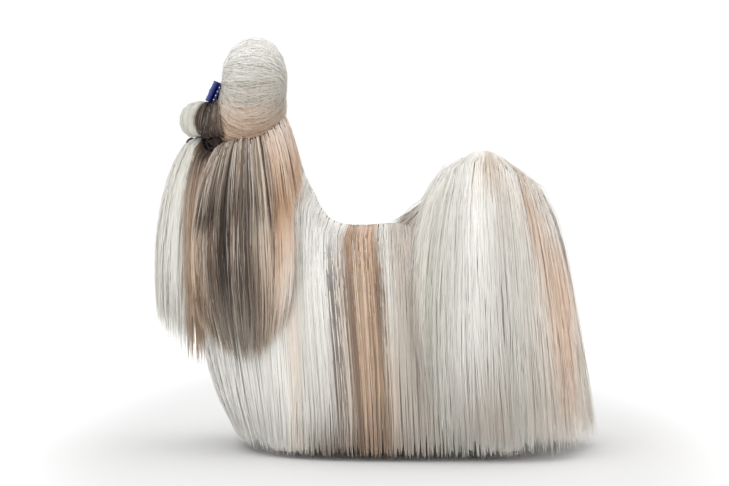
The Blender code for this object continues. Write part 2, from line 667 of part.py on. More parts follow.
def bow_nodes():
    """The hair band, and the bow's two loops, its knot and its tail."""
    up, out = bow_frame()
    nodes = {}
    turns = [math.tau * k / 16 for k in range(16)]
    for side, name in ((LEFT, "bow_left"), (RIGHT, "bow_right")):
        outline = []
        for a in turns:
            along = 0.5 - 0.5 * math.cos(a)
            swell = BOW_DEPTH * 0.5 * math.sin(a) * (0.35 + 0.65 * along ** 0.7)
            outline.append((side * (0.0045 + GAP + along * BOW_REACH), swell))
        nodes[name] = ribbon(name, outline, BOW_CENTRE, up, out, BOW_RIBBON, BOW_SHEET)
    knot = ellipsoid("bow_knot", (0, 0, 0), (0.0062, 0.0045, 0.0095), "ribbon", 16, 8, 0.8)
    for vertex in knot.data.vertices:
        x, y, z = vertex.co
        vertex.co = vec(BOW_CENTRE) + (0, y, 0) + up * z - out * x
    nodes["bow_knot"] = knot
    axis = unit(vec(BAND_AXIS))
    side, other = vec((0, 1, 0)), np.cross(axis, (0, 1, 0))
    rings = []
    for a in turns:
        way = side * math.cos(a) + other * math.sin(a)
        rings.append([vec(BAND_CENTRE) + way * (BAND_RADIUS + 0.002 * math.cos(b)) + axis * 0.5
                      * BAND_THICKNESS * math.sin(b) for b in [math.tau * k / 6 for k in range(6)]])
    points = [p for ring in rings for p in ring]
    faces = [(r * 6 + k, r * 6 + (k + 1) % 6, ((r + 1) % 16) * 6 + (k + 1) % 6, ((r + 1) % 16) * 6 + k)
             for r in range(16) for k in range(6)]
    nodes["hair_band"] = make("hair_band", points, faces, "band")
    return nodes


def tail_nodes(chance):
    """The curled tail and the plume on each side of it."""
    shares = np.linspace(0, 1, 10)
    tail = tube("tail", [spline(vec(TAIL_PATH), s) for s in shares],
                np.interp(shares, np.linspace(0, 1, 5), TAIL_RADII), 10)
    nodes = {"tail": tail}
    for side, name in ((LEFT, "plume_left"), (RIGHT, "plume_right")):
        drape = Drape([sided(row, side) for row in PLUME_STATIONS], hand=side)
        solid = shell(name, drape, (0, 0.03), (1, 0.40), HAIR_CORE, 10, 6)
        combine(solid, layered_locks(drape, (0.01, 0.985), (0.04, 1.0), PLUME_LOCKS, HAIR_CORE[0], chance,
                                     thin=0.8), "UNION")
        low, high = half(side, (-1, GAP / 2, 0), (1, 1, 1))
        combine(solid, [box("side", low, high)], "INTERSECT")
        nodes[name] = solid
    return nodes


def leg_nodes(chance):
    """Four legs and four paws, whose soles stand flat on the floor."""
    nodes = {}
    for side, hand in ((LEFT, "left"), (RIGHT, "right")):
        for part, path in (("front", FRONT_LEG), ("hind", HIND_LEG)):
            keys = [vec((x, side * y, z, r)) for x, y, z, r in path]
            points = [spline(keys, s) for s in np.linspace(0, 1, 7)]
            leg = tube(f"leg_{part}_{hand}", [p[:3] for p in points], [p[3] for p in points], 10)
            paw = paw_solid(f"paw_{part}_{hand}", points[-1][:3])
            combine(leg, leg_locks(keys, chance), "UNION")
            reach = box("reach", (-1, -1, ANKLE_HEIGHT + GAP), (1, 1, BELLY_HEIGHT - GAP))
            combine(leg, [reach], "INTERSECT")
            nodes[leg.name] = leg
            nodes[paw.name] = paw
    return nodes


def leg_locks(keys, chance):
    """Short locks down a leg, in a ring of rows that start at different heights."""
    pieces = []
    for k in range(LEG_LOCKS):
        turn = math.tau * (k + chance.uniform(-0.2, 0.2)) / LEG_LOCKS
        top = 0.18 + 0.34 * (k % 2)
        rings = []
        for s in np.linspace(0, 1, 4):
            key = spline(keys, top + (0.98 - top) * s * 0.62)
            way = vec((math.cos(turn), math.sin(turn), 0))
            across = vec((-way[1], way[0], 0))
            rise = np.interp(s, (0, 0.3, 1), (-0.003, 0.0012, 0.0035))
            base = key[:3] + way * (key[3] + rise)
            width = 0.013 * np.interp(s, (0, 0.5, 1), (0.8, 1, 0.15))
            thick = 0.0022 * np.interp(s, (0, 0.6, 1), (1, 1, 0.4))
            rings.append([base - across * width / 2, base + way * thick, base + across * width / 2])
        pieces.append(loft("lock", rings))
    return pieces


def paw_solid(name, ankle):
    """A paw with four toes, a flat sole and a flat top that meets the leg."""
    x, y, _ = ankle
    rings = []
    for height, size, back in PAW_RINGS:
        ring = []
        for k in range(PAW_POINTS):
            turn = math.tau * k / PAW_POINTS
            toe = (turn + math.pi) % math.tau - math.pi + TOE_SPREAD
            lobe = abs(math.sin(math.pi * 2 * toe / TOE_SPREAD)) if 0 < toe < 2 * TOE_SPREAD else 0.3
            reach = size * (1 + TOE_DEPTH * lobe * min(1, 3 * (1 - height / ANKLE_HEIGHT)))
            ring.append((x - PAW_FORWARD + back - math.cos(turn) * reach * PAW_LENGTH / 2,
                         y + math.sin(turn) * reach * PAW_WIDTH / 2, height))
        rings.append(vec(ring))
    return loft(name, rings, "skin")


def slim(node, share):
    """Thins a node's triangles to a share of their number."""
    step = node.modifiers.new("slim", "DECIMATE")
    step.ratio = share
    graph = bpy.context.evaluated_depsgraph_get()
    thinner = bpy.data.meshes.new_from_object(node.evaluated_get(graph))
    node.modifiers.clear()
    node.data = thinner
    keep_largest(node)


def build():
    """Makes every node."""
    chance = np.random.default_rng(SEED)
    nodes = body_nodes(chance)
    nodes.update(face_nodes(chance))
    nodes.update(ear_nodes(chance))
    nodes.update(hair_nodes(chance))
    nodes.update(bow_nodes())
    nodes.update(tail_nodes(chance))
    nodes.update(leg_nodes(chance))
    for name in SKULL_NEIGHBOURS:
        room = ellipsoid("room", SKULL_CENTRE, vec(SKULL_RADII) + SKULL_ROOM, around=18, rings=10)
        combine(nodes[name], [room], "DIFFERENCE")
    for name, node in nodes.items():
        if name.split("_")[0] in SLIMMED:
            slim(node, SLIM_SHARE)
    for name, others in CLEARANCES:
        clear(nodes[name], *(nodes[other] for other in others))


for thing in list(bpy.data.objects):
    bpy.data.objects.remove(thing)
build()
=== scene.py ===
"""Looks for the standing Shih Tzu: one skin, a coat of fine mesh hair, eyes, nose and bow.

Hair follows Drapes: rows of cubic falls from where the hair grows to where it ends, in metres,
with the dog facing -X and its left side towards -Y.
"""

import math

import bmesh
import bpy
import numpy as np
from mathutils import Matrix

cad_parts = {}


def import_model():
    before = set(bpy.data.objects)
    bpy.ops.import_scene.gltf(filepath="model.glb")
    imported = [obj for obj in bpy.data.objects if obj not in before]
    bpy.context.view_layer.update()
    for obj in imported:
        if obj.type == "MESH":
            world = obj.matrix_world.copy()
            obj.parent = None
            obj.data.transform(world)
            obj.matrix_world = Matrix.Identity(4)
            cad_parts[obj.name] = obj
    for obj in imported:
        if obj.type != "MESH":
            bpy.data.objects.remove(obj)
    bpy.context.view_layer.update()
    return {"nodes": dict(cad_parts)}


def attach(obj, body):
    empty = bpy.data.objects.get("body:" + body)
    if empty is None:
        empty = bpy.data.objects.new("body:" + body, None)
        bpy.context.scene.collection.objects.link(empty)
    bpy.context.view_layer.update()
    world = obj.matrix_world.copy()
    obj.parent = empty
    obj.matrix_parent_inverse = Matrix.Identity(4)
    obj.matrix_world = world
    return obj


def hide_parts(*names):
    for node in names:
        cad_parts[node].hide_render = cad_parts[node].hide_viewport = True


LEFT, RIGHT = -1, 1  # sign of Y on each side of the dog
SIDES = ((LEFT, "left"), (RIGHT, "right"))
SEED = 3
MM, PERCENT = 1000, 100  # parts in which the tables below are given


def vec(values):
    """The values as an array of numbers."""
    return np.array(values, float)


def srgb(red, green, blue):
    """A colour given in screen values from 0 to 255, as light."""
    c = vec((red, green, blue)) / 255
    return np.where(c <= 0.04045, c / 12.92, ((c + 0.055) / 1.055) ** 2.4)


def station_rows(*rows):
    """Rows of four control points, in millimetres."""
    return vec(rows).reshape(-1, 4, 3) / MM


def stops(scale, *pairs):
    """Places along a line, in parts of the scale, and the colour at each."""
    return vec(pairs[::2]) / scale, vec(pairs[1::2])


# Coat round the body: its parting and its hem at the floor
HEM_CENTRE_X = 0.038
HEM_HALF_LENGTH = 0.193
HEM_HALF_WIDTH = 0.134
HEM_ROUNDNESS = 0.8
HEM_HEIGHT = 0.003
HANG_HEIGHT = 0.115
CORE_END = 0.62
SKIN_DEPTH = 0.012
SKIN_RISE = 0.0085  # depth of the skin below the coat's surface at the parting
SKIN_TUCK = 0.04

# Each row: parting point x, y, z, hem angle in degrees, upper reach and lower bulge outwards, in mm
BODY_ROWS = vec((
    (-170, 0, 258, 0, 42, 74),
    (-156, 34, 284, 20, 42, 50),
    (-124, 42, 320, 40, 44, 16),
    (-98, 14, 350, 50, 56, 0),
    (-72, 3, 300, 58, 78, -4),
    (-45, 3, 262.5, 69, 94, -8),
    (20, 3, 261.5, 86, 96, -10),
    (85, 3, 268, 100, 90, -12),
    (140, 4, 262, 126, 70, -20),
    (170, 0, 232, 180, 34, -30),
)) / (MM, MM, MM, 1, MM, MM)
BODY_SPANS = (  # part, its share of the way round, hairs, slot, clumps and drift
    ("neck", 0.07, 0.28, 2300, "white", 110, 0.013),
    ("torso", 0.277, 0.42, 2600, "gold", 120, 0.013),
    ("rump", 0.402, 0.5, 950, "white", 50, 0.004),
)

# Hair of the head and the plume
EAR_ROWS = station_rows(
    (-186, 46, 338, -204, 76, 322, -219, 94, 220, -193, 88, 134),
    (-171, 55, 341, -187, 92, 314, -196, 107, 200, -167, 101, 109),
    (-152, 58, 343, -159, 100, 308, -157, 113, 190, -147, 106, 102),
    (-131, 56, 343, -125, 98, 310, -118, 112, 190, -124, 106, 113),
    (-112, 45, 347, -92, 86, 318, -86, 102, 215, -104, 100, 145),
)
BEARD_ROWS = station_rows(
    (-216, 0, 343, -240, 0, 340, -262, 0, 250, -253, 0, 150),
    (-204, 10.5, 359.2, -230, 22, 357, -259, 36, 255, -248, 36, 144),
    (-198.5, 21.5, 357.8, -218, 44, 352, -243, 60, 250, -233, 58, 130),
    (-193, 31, 342, -205, 52, 332, -218, 68, 235, -213, 66, 114),
    (-180, 35, 330, -186, 52, 314, -193, 66, 225, -195, 64, 106),
)
CHEEK_ROWS = station_rows(
    (-202.5, 22, 351, -213, 46, 331, -225, 74, 270, -212, 84, 150),
    (-195, 33, 345, -204, 60, 330, -216, 84, 262, -203, 92, 146),
    (-184, 41, 343, -193, 68, 330, -206, 94, 255, -193, 98, 142),
    (-174, 43, 346, -182, 70, 336, -196, 96, 260, -183, 100, 146),
)
CROWN_ROWS = station_rows(
    (-118, 0, 390, -101, 0, 386, -98.5, 0, 350, -80, 0, 300),
    (-118, 30, 376, -105, 46, 371, -96, 66, 330, -86, 82, 262),
    (-138, 40, 362, -134, 66, 358, -126, 96, 316, -123, 106, 240),
    (-160, 41, 358, -166, 68, 353, -174, 98, 310, -176, 104, 235),
    (-174, 40, 352, -186, 61, 345, -203, 88, 300, -208, 94, 235),
)
TOPKNOT_FRONT = (-0.1765, 0, 0.411)
TOPKNOT_BACK = (-0.1065, 0, 0.401)
TOPKNOT_HANDLES = (  # x of the front and back handle, y and z of both, top to bottom
    (-0.189, -0.088, 0, 0.49),
    (-0.191, -0.09, 0.061, 0.448),
    (-0.207, -0.092, 0.073, 0.368),
    (-0.219, -0.095, 0.062, 0.327),
    (-0.217, -0.098, 0, 0.315),
)
FORELOCK_ROOT = (-0.199, 0, 0.356)
FORELOCK_TOP = (-0.188, 0, 0.3925)
FORELOCK_HANDLES = (  # y, then x and z of the lower and the upper handle, front to back
    (0, -0.238, 0.344, -0.237, 0.411),
    (0.034, -0.229, 0.344, -0.227, 0.411),
    (0.047, -0.202, 0.35, -0.198, 0.404),
)
TEMPLE_ROWS = station_rows(
    (-202, 28, 350, -206, 45, 360, -202, 34, 392, -189, 7, 399),
    (-193, 38, 350, -196, 52, 362, -193, 40, 392, -184, 8, 401),
    (-182, 43, 352, -187, 57, 364, -187, 49, 390, -179, 10, 404),
    (-171, 45, 349, -178, 58, 361, -181, 50, 388, -177, 10, 404),
)
PLUME_ROWS = station_rows(
    (96, 0, 331, 81, 0, 307, 55, 0, 274, 12, 2, 258),
    (98, 0, 334, 60, 22, 316, 22, 96, 240, 46, 138, 100),
    (108, 0, 341, 80, 46, 332, 62, 134, 200, 74, 145, 30),
    (122, 0, 343, 110, 60, 342, 112, 146, 190, 124, 143, 6),
    (138, 0, 339, 152, 60, 336, 160, 140, 180, 170, 134, 4),
    (153, 0, 327, 190, 46, 324, 204, 110, 160, 218, 104, 4),
    (162, -3, 308, 218, -7, 311, 228, -7, 140, 256, -4, 4),
)
CHIN_ROWS = station_rows(
    (-196, 16, 310, -206, 24, 290, -208, 26, 270, -200, 20, 232),
    (-204, 9, 309, -214, 12, 288, -217, 13, 262, -207, 9, 222),
)

# Flesh under the coat: centres and radii, and for the legs x, y, z and radius
SKULL = ((-0.152, 0, 0.348), (0.0445, 0.0425, 0.0405))
MUZZLE = ((-0.1985, 0, 0.335), (0.014, 0.023, 0.017))
JAW = ((-0.192, 0, 0.313), (0.016, 0.019, 0.01))
NOSE_CENTRE = (-0.2135, 0, 0.3472)
NOSE_RADII = (0.0068, 0.0098, 0.0074)
EYE_CENTRE = (-0.1835, 0.0285, 0.3495)
EYE_RADIUS = 0.01
LID_EDGE = 0.0079  # distance from the gaze at which the lids meet the skin
GAZE = (-0.72, 0.69, 0.05)
LID_OPENING = math.radians(45)
LID_NARROWING = math.radians(9)
LID_RIM = ((0, 0.975), (1, 1.02), (3, 1.045), (7, 1.05), (11, 1.02), (14, 0.94))  # degrees, eye radii
NOSTRIL = (0.0044, -0.0006, 0.0015, 0.0034)  # y and z from the nose's centre, size and depth
WING = (0.0072, -0.0006, 0.0022, -0.0008)
GROOVE_SIZE = 0.0008
GROOVE_DEPTH = 0.0009
TAIL_PATH = ((0.14, 0, 0.262), (0.154, 0, 0.292), (0.143, 0, 0.318), (0.12, 0, 0.322),
             (0.1, 0, 0.308))
TAIL_RADII = (0.0115, 0.0095, 0.0075, 0.0062, 0.0045)
FRONT_LEG = ((-0.092, 0.052, 0.15, 0.0235), (-0.09, 0.052, 0.09, 0.018),
             (-0.092, 0.052, 0.02, 0.015))
HIND_LEG = ((0.142, 0.05, 0.15, 0.0245), (0.136, 0.052, 0.095, 0.022),
            (0.158, 0.053, 0.056, 0.015), (0.152, 0.053, 0.02, 0.0145))
PAW_LENGTH = 0.044
PAW_WIDTH = 0.037
PAW_FORWARD = 0.008
PAW_HEIGHT = 0.024
FLESH = ("head", "muzzle", "jaw", "tail", "leg", "paw")
SOCKET_SWELL = 0.0014
SOLE_HEIGHT = 0.0012
LEG_TOP = 0.105

# Band and bow
BAND_CENTRE = (-0.183, 0, 0.3975)
BAND_AXIS = (0.62, 0, 0.78)
BAND_RADIUS = 0.0085
BAND_THICK, BAND_WIDE = 0.0018, 0.0028
BOW_CENTRE = (-0.1878, 0, 0.407)
BOW_TILT = math.radians(25)
BOW_RIBBON = 0.0225
BOW_REACH = 0.03
BOW_DEPTH = 0.01
BOW_SHEET = 0.0009
PICOT = 0.0009
SELVEDGE = 0.0003
LOOP_START = 0.0046
BACK_SHIFT = 0.0062
KNOT_RADII = (0.0058, 0.0048, 0.0098)
STONE_RADIUS = 0.0009
STONE_HEIGHTS = (-0.0075, -0.0025, 0.0025, 0.0075)
STONE_ROWS = ((0.012, 0.0032), (0.022, 0.0032), (0.0308, -0.006))  # y and depth

# Hair, its patch of the bake map, and short fur
PATCH = 0.003
MAP_EDGE, MAP_SPAN = 0.01, 0.97
GROUND_GAP = 0.0006
HAIR_HEIGHT = 0.0006
SOFTNESS = 0.9  # share of the coat's own direction in a hair's shading
RISE_SHARE = 0.07  # share of a hair's length over which it leaves the skin
HAIR_TAPER = ((0, 0.08, 0.7, 1), (0.5, 1, 0.9, 0.08))
FUR_TAPER = ((0, 0.6, 1), (1, 0.8, 0.1))
FUR_RINGS = 5
TINT_LIMIT = 0.97
STREAK = (0.65, 1.15)
VOXEL = 0.0022

# Camera and light
CAMERA_DISTANCE = 2.4
CAMERA_AIM = (-0.015, 0, 0.2335)
CAMERA_RISE = math.radians(3)
CAMERA_LENS = 103
FLOOR_SHADE = 0.74  # painted shadow: the floor's lightness round the dog, in a broad soft patch
SHADE_REACH = (0.5, 1.3)  # half sizes of that patch in x and y
FLOOR_FAR = 0.97
WORLD_LIGHT = 1.05
LAMPS = (  # name, place, size and power
    ("key", (-1.2, -1.6, 1.9), 1.4, 9.5),
    ("top", (0.2, 0.2, 2.4), 1.8, 9),
)
LAMP_AIM = (0, 0, 0.2)

# Colours
WHITE = srgb(246, 244, 238)
CREAM = srgb(240, 231, 220)
PEARL = srgb(226, 224, 216)
SAGE = srgb(213, 211, 200)
FLANK = srgb(204, 194, 183)
BEIGE = srgb(208, 191, 172)
SAND = srgb(212, 190, 170)
ROSE = srgb(230, 212, 196)
PEACH = srgb(222, 188, 160)
BLUSH = srgb(238, 208, 184)
ORANGE = srgb(208, 166, 130)
GOLD = srgb(200, 170, 142)
TAN = srgb(180, 152, 126)
BROWN = srgb(132, 108, 90)
ASH = srgb(150, 136, 124)
SLATE = srgb(134, 126, 120)
DARK = srgb(76, 60, 48)
BLACK = srgb(54, 42, 33)
PLUM = srgb(58, 44, 44)
RIBBON_BLUE = srgb(46, 58, 132)

# Markings: rows at rising heights v, each with its colours from front to back
BODY_MARKS = (
    (0.1, stops(MM, -170, WHITE, -105, CREAM, -92, ROSE, -78, WHITE, -35, WHITE, -32.5, ORANGE, -28, GOLD,
        -24, TAN, -19, PEACH, -8, PEACH, -3, ORANGE, 0, PEARL, 9, PEARL, 15, FLANK, 50, FLANK, 75, PEARL,
        100, WHITE)),
    (0.45, stops(MM, -110, WHITE, -96, BEIGE, -88, ROSE, -74, PEARL, -66, WHITE, -52, WHITE, -50, SLATE,
        -44, SLATE, -42, CREAM, -39.5, BEIGE, -37.5, BROWN, -29, BROWN, -25, TAN, -20, GOLD, -15, PEACH,
        -8, GOLD, -3, BROWN, 1, BROWN, 4, FLANK, 10, PEARL, 16, FLANK, 45, FLANK, 60, SAGE, 85, PEARL,
        110, WHITE)),
    (0.85, stops(MM, -110, WHITE, -90, CREAM, -75, PEARL, -55, PEARL, -52, ASH, -45, ASH, -42, CREAM,
        -39, BEIGE, -37, BROWN, -30, BROWN, -26, TAN, -20, GOLD, -12, TAN, -4, GOLD, 0, BROWN, 5, BEIGE,
        20, FLANK, 45, FLANK, 65, SAGE, 90, PEARL, 110, WHITE)),
)
PATCH_FRONT = ((0.1, 0.45, 0.85), (-0.0325, -0.0375, -0.037))  # heights v and x
EAR_MARKS = (
    (0.12, stops(PERCENT, 0, ASH, 10, BROWN, 20, BEIGE, 27, BROWN, 34, BEIGE, 42, DARK, 48, BEIGE, 56, ASH,
        64, BEIGE, 75, SAND, 88, ROSE, 100, CREAM)),
    (0.42, stops(PERCENT, 0, TAN, 6, BEIGE, 11, BROWN, 17, BEIGE, 22, DARK, 28, BROWN, 33, BLACK, 43, BLACK,
        48, BROWN, 53, DARK, 60, DARK, 66, BEIGE, 74, SAND, 79, BROWN, 83, ORANGE, 92, GOLD, 96, ORANGE,
        100, PEACH)),
    (0.8, stops(PERCENT, 0, BEIGE, 10, GOLD, 18, BROWN, 26, DARK, 36, BLACK, 50, BLACK, 60, DARK, 68, BROWN,
        78, SAND, 88, ROSE, 100, CREAM)),
)
CHEEK_MARKS = (
    (0.05, stops(PERCENT, 0, BLACK, 100, DARK)),
    (0.15, stops(PERCENT, 0, DARK, 30, BLACK, 60, DARK, 100, BROWN)),
    (0.35, stops(PERCENT, 0, ASH, 30, BROWN, 60, ASH, 100, BEIGE)),
    (0.75, stops(PERCENT, 0, BEIGE, 30, TAN, 60, BROWN, 100, ASH)),
)
PLUME_MARKS = (
    (0.27, stops(PERCENT, 0, WHITE, 16, PEARL, 30, WHITE, 40, CREAM, 48, BEIGE, 55, CREAM, 64, WHITE,
        70, BEIGE, 76, CREAM)),
    (0.38, stops(PERCENT, 0, WHITE, 10, SAGE, 22, PEARL, 34, WHITE, 48, WHITE, 53, FLANK, 56, PEARL,
        64, CREAM, 68, FLANK, 70.5, ORANGE, 72, PEACH, 75, CREAM, 100, WHITE)),
    (0.56, stops(PERCENT, 0, PEARL, 12, SAGE, 26, PEARL, 36, WHITE, 52, PEARL, 64, PEARL, 68, CREAM,
        72, ROSE, 77, BLUSH, 90, BLUSH, 100, CREAM)),
    (0.8, stops(PERCENT, 0, FLANK, 14, SAGE, 30, WHITE, 50, PEARL, 70, CREAM, 80, BLUSH, 90, CREAM)),
    (1, stops(PERCENT, 0, FLANK, 20, PEARL, 34, FLANK, 44, BEIGE, 54, PEARL, 70, CREAM)),
)

# Markings up the topknot, along the skin and on the cores of the bulbs
TOPKNOT_MARKS = stops(MM, 346, TAN, 360, GOLD, 378, SAND, 392, FLANK, 412, SAGE, 432, PEARL, 448, WHITE)
SKIN_BODY = stops(MM, -50, CREAM, -43, TAN, -20, GOLD, -4, BEIGE, 20, FLANK, 70, SAGE, 110, CREAM)
SKIN_HEAD = stops(MM, -209, SAGE, -203, PLUM, -170, PLUM, -160, BROWN, -135, BEIGE, -115, ROSE)
TOPKNOT_CORE = stops(MM, 350, PEACH, 370, BEIGE, 410, BEIGE, 440, WHITE)
FORELOCK_CORE = stops(MM, -212, PEARL, -206, DARK)
FORELOCK_EDGE = ((0.356, 0.362, 0.371, 0.378, 0.391, 0.396),  # z and x of its dark part's front
                 (-0.1965, -0.2045, -0.208, -0.208, -0.2025, -0.1945))


def unit(vectors):
    """Vectors at length one."""
    return vectors / np.maximum(np.linalg.norm(vectors, axis=-1, keepdims=True), 1e-9)


def sided(points, side):
    """The points with Y turned to the given side of the dog."""
    return vec(points) * (1, side, 1)


def spline(keys, t, closed=False):
    """Values at every t, from 0 to 1, on a smooth curve through the keys."""
    count = len(keys)
    x = (t % 1) * count if closed else np.clip(t, 0, 1) * (count - 1)
    i = np.floor(x).astype(int)
    i = i if closed else np.minimum(i, count - 2)
    f = (x - i)[(...,) + (None,) * (keys.ndim - 1)]
    near = [(i + k) % count if closed else np.clip(i + k, 0, count - 1) for k in (-1, 0, 1, 2)]
    a, b, c, d = (keys[k] for k in near)
    return 0.5 * (2 * b + (c - a) * f + (2 * a - 5 * b + 4 * c - d) * f ** 2
                  + (3 * (b - c) + d - a) * f ** 3)


class Drape:
    """A surface of hair: stations of four control points, joined smoothly side by side."""

    def __init__(self, stations, closed=False, hand=1):
        self.stations = vec(stations)
        self.closed = closed
        self.hand = hand

    def point(self, t, v):
        rows = spline(self.stations, t, self.closed)
        a, b, c, d = (rows[..., k, :] for k in range(4))
        v = v[..., None]
        return (1 - v) ** 3 * a + 3 * (1 - v) ** 2 * v * b + 3 * (1 - v) * v ** 2 * c + v ** 3 * d

    def frame(self, t, v):
        """Points at (t, v), with the directions across and out of the surface."""
        step = 1e-3
        low, high = t - step, t + step
        if not self.closed:
            low, high = np.maximum(low, 0), np.minimum(high, 1)
        across = unit(self.point(high, v) - self.point(low, v))
        along = unit(self.point(t, v + step) - self.point(t, v - step))
        out = unit(np.cross(across, along)) * self.hand
        return self.point(t, v), np.cross(along, out), out


def round_drape(rows, hand):
    """A Drape all the way round, from rows that start and end at the mid-plane."""
    return Drape(np.concatenate([sided(rows, LEFT), sided(rows[-2:0:-1], RIGHT)]), True, hand)


def body_drape():
    """The coat from the parting to the floor, once round from the chest."""
    rows = []
    for x, y, z, angle, reach, bulge in BODY_ROWS:
        cos, sin = math.cos(math.radians(angle)), math.sin(math.radians(angle))
        hem = vec((HEM_CENTRE_X - HEM_HALF_LENGTH * math.copysign(abs(cos) ** HEM_ROUNDNESS, cos),
                   HEM_HALF_WIDTH * abs(sin) ** HEM_ROUNDNESS, HEM_HEIGHT))
        out = unit(vec((-cos / HEM_HALF_LENGTH, sin / HEM_HALF_WIDTH, 0)))
        root = vec((x, y, z))
        rows.append((root, root + out * reach, hem + out * bulge + (0, 0, HANG_HEIGHT), hem))
    return round_drape(rows, -1)


def mirrored_drape(rows, hand=1):
    """A Drape across the mid-plane, from rows that start there."""
    return Drape(np.concatenate([sided(rows[:0:-1], RIGHT), sided(rows, LEFT)]), hand=hand)


def topknot_drape():
    """The topknot's bulb, whose hair runs back from the band."""
    rows = [(TOPKNOT_FRONT, (front_x, y, z), (back_x, y, z), TOPKNOT_BACK)
            for front_x, back_x, y, z in TOPKNOT_HANDLES]
    return round_drape(rows, 1)


def forelock_drape():
    """The bulb over the forehead, from the brow up to the band."""
    rows = []
    for y, low_x, low_z, high_x, high_z in FORELOCK_HANDLES:
        root = vec(FORELOCK_ROOT) + (0, y * 0.55, 0)
        top = vec(FORELOCK_TOP) + (0, y * 0.1, 0)
        rows.append((root, (low_x, y, low_z), (high_x, y, high_z), top))
    return mirrored_drape(rows)


def link(name, mesh):
    """A new object for the mesh."""
    made = bpy.data.objects.new(name, mesh)
    bpy.context.scene.collection.objects.link(made)
    return made


def read(items, name, size=3):
    """A measure of every point or face, as rows of numbers."""
    values = np.zeros(len(items) * size)
    items.foreach_get(name, values)
    return values.reshape(-1, size)


def fill(items, name, values, kind=np.float32):
    """Writes a measure of every point, corner or face."""
    items.foreach_set(name, np.ravel(values).astype(kind))


def paint(mesh, colours):
    """Gives every point of a mesh its colour, as the tint."""
    tint = mesh.color_attributes.new("Tint", "FLOAT_COLOR", "POINT")
    fill(tint.data, "color", np.hstack([colours, np.ones((len(colours), 1))]))


def built(name, build, smooth_faces=True):
    """A new object from built faces."""
    mesh = bpy.data.meshes.new(name)
    build.to_mesh(mesh)
    build.free()
    fill(mesh.polygons, "use_smooth", np.full(len(mesh.polygons), smooth_faces), bool)
    return link(name, mesh)


def angles(count):
    """Angles once round."""
    return np.linspace(0, math.tau, count, endpoint=False)


def sew(rows, ring=False):
    """Faces between neighbouring rows of points, each row closed on itself, and the new rows."""
    build = bmesh.new()
    rows = [[build.verts.new(point) for point in row] for row in rows]
    for low, high in zip(rows, rows[1:] + (rows[:1] if ring else [])):
        for k in range(len(low)):
            n = (k + 1) % len(low)
            build.faces.new((low[k], low[n], high[n], high[k]))
    if ring:
        bmesh.ops.recalc_face_normals(build, faces=build.faces)
    return build, rows


def mix(low, high, share):
    """Colours between two colours, by a share for each."""
    share = np.clip(share, 0, 1)[..., None]
    return low * (1 - share) + high * share


def ramp(x, line):
    """Colours along x through the stops of a line."""
    places, colours = line
    return np.stack([np.interp(x, places, colours[:, k]) for k in range(3)], axis=-1)


def smooth(low, high, x):
    """0 below low, 1 above high, eased between."""
    f = np.clip((x - low) / (high - low), 0, 1)
    return f * f * (3 - 2 * f)


def table(x, v, rows):
    """Colours across x, blended between rows given at rising heights v."""
    x = x + 0 * v
    colours = np.stack([ramp(x, line) for _, line in rows])
    place = np.interp(v, [height for height, _ in rows], np.arange(len(rows)))
    low = np.clip(np.floor(place).astype(int), 0, len(rows) - 2)
    pick = np.indices(x.shape)
    return mix(colours[(low, *pick)], colours[(low + 1, *pick)], place - low)


def bands(place, chance, count, gain=1):
    """Smooth random bands across the hair."""
    return np.interp(place, np.linspace(place.min(), place.max(), count), chance.normal(0, gain, count))


def jitter(t, chance, gain):
    """A random shift for each hair."""
    return chance.normal(0, gain, (len(t), 1))


def streaks(t, chance, count, low, high):
    """Shares of a second colour, in random bands across the hair."""
    return smooth(low, high, bands(t, chance, count))


def hair_faces(count, rings):
    """Corner numbers and corner counts of the faces of closed three-sided hairs."""
    start = 3 * np.arange(count * rings).reshape(count, rings, 1)
    low, k, n = start[:, :-1], np.arange(3), np.array((1, 2, 0))
    quads = np.stack([low + k, low + n, low + 3 + n, low + 3 + k], axis=-1)
    ends = (start[:, 0] + (0, 2, 1), start[:, -1] + k)
    loops = np.concatenate([quads.ravel(), *(end.ravel() for end in ends)])
    return loops, np.repeat((4, 3), (quads.size // 4, 2 * count))


def hair_mesh(name, paths, across, outs, widths, heights, tints, spots, sheet):
    """Closed three-sided hairs as one mesh, with a tint at each ring."""
    count, rings = paths.shape[:2]
    corners = np.stack([paths - across * widths[..., None] / 2, paths + outs * heights[..., None],
                        paths + across * widths[..., None] / 2], axis=2)
    corners[..., 2] = np.maximum(corners[..., 2], GROUND_GAP)
    loops, totals = hair_faces(count, rings)
    mesh = bpy.data.meshes.new(name)
    mesh.vertices.add(count * rings * 3)
    fill(mesh.vertices, "co", corners)
    mesh.loops.add(len(loops))
    fill(mesh.loops, "vertex_index", loops, np.int32)
    mesh.polygons.add(len(totals))
    fill(mesh.polygons, "loop_start", np.cumsum(totals) - totals, np.int32)
    fill(mesh.polygons, "use_smooth", np.ones(len(totals)), bool)
    mesh.update()
    mesh.normals_split_custom_set(hair_normals(across, outs, sheet, loops).astype(np.float32))
    paint(mesh, np.repeat(np.clip(tints, 0, TINT_LIMIT), 3, axis=1).reshape(-1, 3))
    inside = np.stack(np.meshgrid(np.arange(3) / 2, np.arange(rings) / (rings - 1)), axis=-1)
    places = (MAP_EDGE + MAP_SPAN * spots)[:, None, None, :] + PATCH * inside
    fill(mesh.uv_layers.new(name="OFBake").data, "uv", places.reshape(-1, 2)[loops])
    return link(name, mesh)


